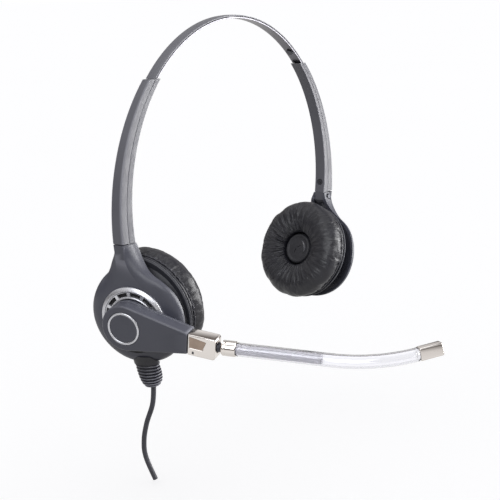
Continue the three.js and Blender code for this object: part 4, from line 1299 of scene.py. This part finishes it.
def mic_plan(inset):
    """Square where it meets the boom and rounded at its free end."""
    low = inset - MIC_HALF[0]
    high = MIC_HALF[1] - inset
    start = MIC_START + inset
    end = MIC_END - inset
    outline = [(start, low), (end, low), (end, high), (start, high)]
    radii = (0.3, 1.5, 1.3, 0.3)
    points = []
    for i, corner in enumerate(outline):
        points += soften([outline[i - 1], corner, outline[(i + 1) % 4]], radii[i], steps=6)[1:-1]
    return points


def mic_window(depth, inset):
    """Outline of the recessed window, at a depth below the face."""
    left = MIC_START + 0.5 + inset
    points = [(left, -1.8 + inset), (MIC_START + 7.4 - inset, -1.8 + inset),
              (MIC_START + 9.0 - inset, 3.0 - inset), (left, 4.1 - inset)]
    return [Vector((p.x, p.y, BOOM_TOP - depth)) for p in soften(points, 0.5, closed=True)]


def mic_housing():
    """Chrome end of the boom with a sloping top edge, a window and a small notch."""
    piece = solid("mic_chrome", pillow(mic_plan, BOOM_BASE + 0.2, BOOM_TOP, 0.55, 1.4, 6))
    slope = Matrix.Translation((MIC_START + 10, 7.9, BOOM_TOP + 0.6))
    slope = slope @ Matrix.Rotation(math.radians(38), 4, "X")
    chamfer = solid("chamfer", block((40, 6, 6), (0, 0, 0)), slope)
    window = loft([mic_window(0.35, 0.25), mic_window(-1.5, -0.9)])
    notch = block((1.0, 1.3, 2.0), (MIC_START + 2.7, -3.6, BOOM_TOP))
    at_ball = Matrix.Translation((TUBE_BALL_AT, 0, MIC_DEPTH)) @ ALONG_X
    socket = solid("socket", ball(TUBE_BALL_RADIUS + 0.35, 48), at_ball)
    chamber = block((9, 6.6, 4.4), (MIC_START + 3.4, 0, MIC_DEPTH - 0.2))
    combine(piece, "DIFFERENCE", [chamfer, window, notch, socket, chamber])
    place(piece, BOOM, CHROME, "boom", ["mic_housing"], sharp=28)


def mic_pane():
    """Panel in the window, whose brown colour is a painted reflection."""
    rings = [mic_window(0.34, 0.3), mic_window(0.22, 0.36)]
    place(solid("mic_window_pane", loft(rings)), BOOM, WINDOW_REFLECTION, "boom", sharp=28)
    # Black plug that paints the shade at the bottom of the notch.
    plug = solid("mic_notch_shade_plug", block((0.9, 1.2, 0.5), (MIC_START + 2.7, -3.6, BOOM_TOP - 0.6)))
    place(bevelled(plug, 0.12), BOOM, BLACK, "boom")


# ---- voice tube ----

def tube_point(s):
    """Centre and direction of the tube at a distance from its ball."""
    if s <= TUBE_STRAIGHT:
        return Vector((s, 0, 0)), Vector((1, 0, 0))
    radius = TUBE_ARC / math.radians(TUBE_TURN)
    angle = (s - TUBE_STRAIGHT) / radius
    plane = math.radians(TUBE_BEND_PLANE)
    side = Vector((0, math.sin(plane), -math.cos(plane)))
    centre = Vector((TUBE_STRAIGHT + radius * math.sin(angle), 0, 0)) + side * radius * (1 - math.cos(angle))
    return centre, Vector((math.cos(angle), 0, 0)) + side * math.sin(angle)


def tube_ring(radius, s):
    centre, along = tube_point(s)
    plane = math.radians(TUBE_BEND_PLANE)
    first = Vector((0, math.cos(plane), math.sin(plane)))
    second = along.cross(first)
    return [centre + (first * math.cos(a) + second * math.sin(a)) * radius for a in round_angles(40)]


def hollow_tube(radii, start, end, steps):
    """Tube wall with rounded ends."""
    inner, outer = radii
    lip = (outer - inner) / 2
    stations = [mix(start + lip, end - lip, k / steps) for k in range(steps + 1)]
    rings = [tube_ring(outer, s) for s in stations]
    rings.append(tube_ring(inner + lip, end))
    rings += [tube_ring(inner, s) for s in reversed(stations)]
    rings.append(tube_ring(inner + lip, start))
    return loft(rings, looped=True)


def voice_tube():
    shape = hollow_tube(TUBE_RADII, FERRULE_SPAN[1] + 0.2, TUBE_STRAIGHT + TUBE_ARC - 0.2, 70)
    place(solid("voice_tube_clear", shape), TUBE, ACRYLIC, "tube", ["voice_tube"], sharp=60)


def tube_core():
    piece = solid("voice_tube_core", hollow_tube(CORE_RADII, CORE_SPAN[0], CORE_SPAN[1], 12))
    place(piece, TUBE, SATIN, "tube", ["tube_metal_core"], sharp=60)


def tube_ferrule():
    """Chrome collar with a narrow neck ring and a flared mouth."""
    start, end = FERRULE_SPAN
    bore = CORE_RADII[1] + 0.3
    step = start + 2.1
    outline = [(1.5, start), (FERRULE_RADIUS - 0.5, start), (FERRULE_RADIUS, start + 0.6),
               (FERRULE_RADIUS, start + 1.5), (FERRULE_RADIUS - 0.22, start + 1.75),
               (FERRULE_RADIUS, start + 2.0), (FERRULE_RADIUS, end - 0.3), (FERRULE_RADIUS - 0.3, end),
               (bore, end), (bore, step), (1.5, step)]
    piece = solid("tube_collar", lathe(soften(outline, 0.18, closed=True), 96, closed=True), ALONG_X)
    place(piece, TUBE, CHROME, "tube", ["tube_ferrule"], sharp=60)


def tip_plan(inset):
    half = Vector((TIP_HALF[0] - inset, TIP_HALF[1] - inset))
    corners = [(-half.x, -half.y), (half.x, -half.y), (half.x, half.y), (-half.x, half.y)]
    return soften(corners, 0.9, closed=True, steps=6)


def tube_tip():
    """Flattened chrome mouthpiece with a slot across its end."""
    end = TUBE_STRAIGHT + TUBE_ARC
    seat, along = tube_point(end)
    piece = solid("tube_mouthpiece", pillow(tip_plan, 0, TIP_LENGTH, 0.45))
    bore = disc(1.5, -1, TIP_LENGTH - 2.2, 40)
    slot = block((1.6, 3.6, 6), (0.9, 0, TIP_LENGTH))
    notch = block((3, 7, 2.2), (3.2, -2.2, TIP_LENGTH - 0.6))
    combine(piece, "DIFFERENCE", [bore, slot, notch])
    turn = Vector((0, 0, 1)).rotation_difference(along).to_matrix().to_4x4()
    place(piece, TUBE @ Matrix.Translation(seat) @ turn, CHROME, "tube", ["tube_tip"])


# ---- cable ----

def boot_radius(y):
    """Ribbed outline of the strain relief: full collar first, then crests and grooves."""
    if y > BOOT_COLLAR:
        return 6.6 - 0.2 * ramp(y, BOOT_TOP - 2, BOOT_COLLAR)
    along = (y - BOOT_COLLAR) / (BOOT_BOTTOM - BOOT_COLLAR)
    crest = 2.3 + 3.7 * math.sqrt(max(0.0, 1 - along ** 2.6))
    wave = 0.5 - 0.5 * math.cos(2 * math.pi * along * BOOT_RIBS)
    return crest - 0.85 + 0.85 * wave ** 0.4


def strain_relief():
    """Ribbed boot, flattened at its root, cut clear of the cup's shell."""
    rings = []
    for y in [mix(BOOT_TOP, BOOT_BOTTOM, k / 110) for k in range(111)]:
        along = ramp(-y, -BOOT_TOP, -BOOT_BOTTOM)
        radius = boot_radius(y)
        squeeze = mix(0.48, 1, along)
        rings.append([Vector((BOOT_FORWARD + BOOT_LEAN * along + radius * math.cos(a), y,
                              CABLE_DEPTH + radius * squeeze * math.sin(a))) for a in round_angles(56)])
    piece = solid("cable_boot", loft(rings))
    way = [Vector((BOOT_FORWARD + BOOT_LEAN, y, CABLE_DEPTH)) for y in (BOOT_BOTTOM - 2, BOOT_BOTTOM + 4.5)]
    combine(piece, "DIFFERENCE", [swept(way, CABLE_RADIUS + 0.3, 32)])
    clearance = cup_rings(-0.3, -0.3, 18)
    clearance.append([p + Vector((0, 0, -0.3)) for p in clearance[-1]])
    combine(piece, "DIFFERENCE", [ladder_caps(clearance)])
    place(piece, CUP["left"], BOOT_RUBBER, "cup_left", ["strain_relief"], sharp=45)


def swept(path, radius, facets):
    """Round rod along a path that stays level in local z."""
    rings = []
    for i, centre in enumerate(path):
        ahead = path[min(i + 1, len(path) - 1)] - path[max(i - 1, 0)]
        across = Vector((0, 0, 1)).cross(ahead).normalized()
        rings.append([centre + (across * math.cos(a) + Vector((0, 0, 1)) * math.sin(a)) * radius
                      for a in round_angles(facets)])
    return loft(rings)


def cable():
    """Cord that hangs in the plane of the cup, as far as the photo shows it."""
    x = BOOT_FORWARD + BOOT_LEAN
    points = [(x, BOOT_BOTTOM + 3), (x, BOOT_BOTTOM - 1), (0.2, -44.8), (-4.6, -55), (-7.6, -64.5),
              (-8.1, -73.2), (-4.9, -85)]
    path = smooth_curve([(a, b, CABLE_DEPTH) for a, b in points], 120)
    cord = solid("cable_cord", swept(path, CABLE_RADIUS, 28))
    place(cord, CUP["left"], RUBBER, "cup_left", ["cable"])


# ---- pieces shown as the CAD has them ----

def dress_hardware():
    for _, name in SIDES:
        for node in ("headband_rivet", "arm_screw", "speaker_driver"):
            dress(f"{node}_{name}", DARK_STEEL)
        dress(f"hinge_block_{name}", ARM)
        dress(f"ball_bracket_{name}", BLACK)
        soft_edges(f"hinge_block_{name}", 0.25)
    for node in ("pivot_pin_right", "boom_axle", "mic_capsule", "tube_ball"):
        dress(node, DARK_STEEL)
    for node in ("axle_washer", "cap_washer"):
        dress(node, SPRING)


def soft_edges(node, width):
    modifier = frame["nodes"][node].modifiers.new("edges", "BEVEL")
    modifier.width = width * MM
    modifier.segments = 3
    modifier.limit_method = "ANGLE"
    modifier.angle_limit = math.radians(40)


# ---- stage ----

FLOOR_Z = -0.217
FLOOR_HALF = 30.0
FLOOR_GLOW = 0.64
FLOOR_ALBEDO = 0.55


def floor():
    """Pale floor that the camera and the clear tube see, and that lights nothing."""
    mesh = bpy.data.meshes.new("floor")
    corners = [(x * FLOOR_HALF, y * FLOOR_HALF, FLOOR_Z) for x, y in ((-1, -1), (1, -1), (1, 1), (-1, 1))]
    mesh.from_pydata(corners, [], [(0, 1, 2, 3)])
    ground = bpy.data.objects.new("floor", mesh)
    finish = Finish("pale_floor", (FLOOR_ALBEDO, FLOOR_ALBEDO, FLOOR_ALBEDO, 1.0), 0.9)
    finish.mottle(2, 0.01)
    finish.shader.inputs["Specular IOR Level"].default_value = 0.0
    finish.shader.inputs["Emission Color"].default_value = (1.0, 1.0, 1.0, 1.0)
    finish.shader.inputs["Emission Strength"].default_value = FLOOR_GLOW
    mesh.materials.append(finish.material)
    ground.visible_diffuse = False
    ground.visible_glossy = False
    bpy.context.scene.collection.objects.link(ground)
    return ground


LAMP_AIM = Vector((0, 0, -0.1))
LAMPS = (
    # name, place, size, power in watts, colour
    ("key", (0.35, -1.0, 0.35), (0.9, 0.6), 13, (1, 1, 1)),
    ("top", (-0.1, 0.15, 1.0), (1.0, 1.0), 4, (1, 1, 1)),
    ("left_fill", (-1.0, -0.3, 0.45), (0.8, 0.8), 7, (0.95, 0.97, 1.0)),
    ("rim_right", (0.85, -0.7, -0.05), (0.5, 0.5), 9, (1, 1, 1)),
)


def area_light(name, position, size, power, colour, spare):
    """Soft lamp aimed at the middle of the headset; it leaves the spared object unlit."""
    light = bpy.data.lights.new(name, "AREA")
    light.shape = "RECTANGLE"
    light.size, light.size_y = size
    light.energy = power
    light.color = colour
    lamp = bpy.data.objects.new(name, light)
    lamp.rotation_euler = (LAMP_AIM - Vector(position)).to_track_quat("-Z", "Y").to_euler()
    lamp.location = position
    bpy.context.scene.collection.objects.link(lamp)
    receivers = bpy.data.collections.new(f"{name}_receivers")
    receivers.objects.link(spare)
    lamp.light_linking.receiver_collection = receivers
    receivers.collection_objects[0].light_linking.link_state = "EXCLUDE"


def sky_ramp(tree, height, stops):
    """Grey levels against the upward part of the ray's direction."""
    scale = tree.nodes.new("ShaderNodeMapRange")
    scale.inputs["From Min"].default_value = -1
    tree.links.new(height, scale.inputs["Value"])
    colours = tree.nodes.new("ShaderNodeValToRGB")
    for index, (level, colour) in enumerate(stops):
        at = (level + 1) / 2
        element = colours.color_ramp.elements[index] if index < 2 else colours.color_ramp.elements.new(at)
        element.position = at
        element.color = (*colour, 1.0)
    tree.links.new(scale.outputs["Result"], colours.inputs["Fac"])
    return colours.outputs["Color"]


SKY_LIGHT = (
    (-1.0, (0.08, 0.08, 0.09)),
    (1.0, (0.72, 0.72, 0.74)),
    (-0.15, (0.20, 0.20, 0.215)),
    (0.45, (0.60, 0.60, 0.62)),
)

SKY_REFLECTION = (
    (-1.0, (0.75, 0.74, 0.73)),
    (1.0, (0.55, 0.55, 0.56)),
    (-0.42, (0.95, 0.94, 0.93)),
    (-0.16, (0.80, 0.78, 0.77)),
    (-0.06, (0.10, 0.085, 0.075)),
    (0.16, (0.07, 0.06, 0.055)),
    (0.26, (0.62, 0.60, 0.59)),
    (0.55, (0.90, 0.89, 0.89)),
    (0.72, (0.16, 0.14, 0.13)),
)


def studio(ground):
    """Soft sky for diffuse light and a banded one for reflections."""
    world = bpy.context.scene.world or bpy.data.worlds.new("studio")
    bpy.context.scene.world = world
    world.use_nodes = True
    tree = world.node_tree
    split = tree.nodes.new("ShaderNodeSeparateXYZ")
    tree.links.new(tree.nodes.new("ShaderNodeTexCoord").outputs["Generated"], split.inputs["Vector"])
    choose = tree.nodes.new("ShaderNodeMix")
    choose.data_type = "RGBA"
    tree.links.new(tree.nodes.new("ShaderNodeLightPath").outputs["Is Glossy Ray"], choose.inputs["Factor"])
    tree.links.new(sky_ramp(tree, split.outputs["Z"], SKY_LIGHT), choose.inputs["A"])
    tree.links.new(sky_ramp(tree, split.outputs["Z"], SKY_REFLECTION), choose.inputs["B"])
    seen = tree.nodes.new("ShaderNodeMix")
    seen.data_type = "RGBA"
    seen.inputs["B"].default_value = (1.0, 1.0, 1.0, 1.0)
    tree.links.new(tree.nodes.new("ShaderNodeLightPath").outputs["Is Camera Ray"], seen.inputs["Factor"])
    tree.links.new(choose.outputs["Result"], seen.inputs["A"])
    background = tree.nodes["Background"]
    tree.links.new(seen.outputs["Result"], background.inputs["Color"])
    background.inputs["Strength"].default_value = 1.0
    for lamp in LAMPS:
        area_light(*lamp, spare=ground)


CAMERA_AT = (-0.5226, -0.3749, 0.0131)
CAMERA_AZIMUTH = 55.01
CAMERA_DROP = 11.29
CAMERA_ROLL = -1.35
CAMERA_LENS = 93.6
CAMERA_SENSOR = 36.0


def camera():
    azimuth, drop, roll = (math.radians(a) for a in (CAMERA_AZIMUTH, CAMERA_DROP, CAMERA_ROLL))
    level = math.cos(drop)
    forward = Vector((math.sin(azimuth) * level, math.cos(azimuth) * level, -math.sin(drop)))
    right = Vector((math.cos(azimuth), -math.sin(azimuth), 0))
    up = right.cross(forward)
    rolled_right = right * math.cos(roll) + up * math.sin(roll)
    rolled_up = up * math.cos(roll) - right * math.sin(roll)
    lens = bpy.data.cameras.new("photo_view")
    lens.lens = CAMERA_LENS
    lens.sensor_width = CAMERA_SENSOR
    lens.clip_start = 0.01
    viewer = bpy.data.objects.new("photo_view", lens)
    turn = Matrix((rolled_right, rolled_up, -forward)).transposed().to_4x4()
    viewer.matrix_world = Matrix.Translation(CAMERA_AT) @ turn
    bpy.context.scene.collection.objects.link(viewer)
    bpy.context.scene.camera = viewer


# ---- build ----

band_cover()
band_strip()
for side, name in SIDES:
    arm_outer(side, name)
    arm_inner(side, name)
    cup_shell(side, name)
    vent_felt(name)
    vent_ring(name)
    speaker_bowl(name)
    cushion_clip(name)
    speaker_face(name)
    seam_cord(name)
ear_cushions()
hidden_pin()
boom_hub()
hub_shade_crescent()
cup_cap()
boom_back()
boom_front()
boom_ring()
boom_button()
mic_housing()
mic_pane()
voice_tube()
tube_core()
tube_ferrule()
tube_tip()
strain_relief()
cable()
dress_hardware()
studio(floor())
camera()

bpy.context.scene.view_settings.view_transform = "Standard"
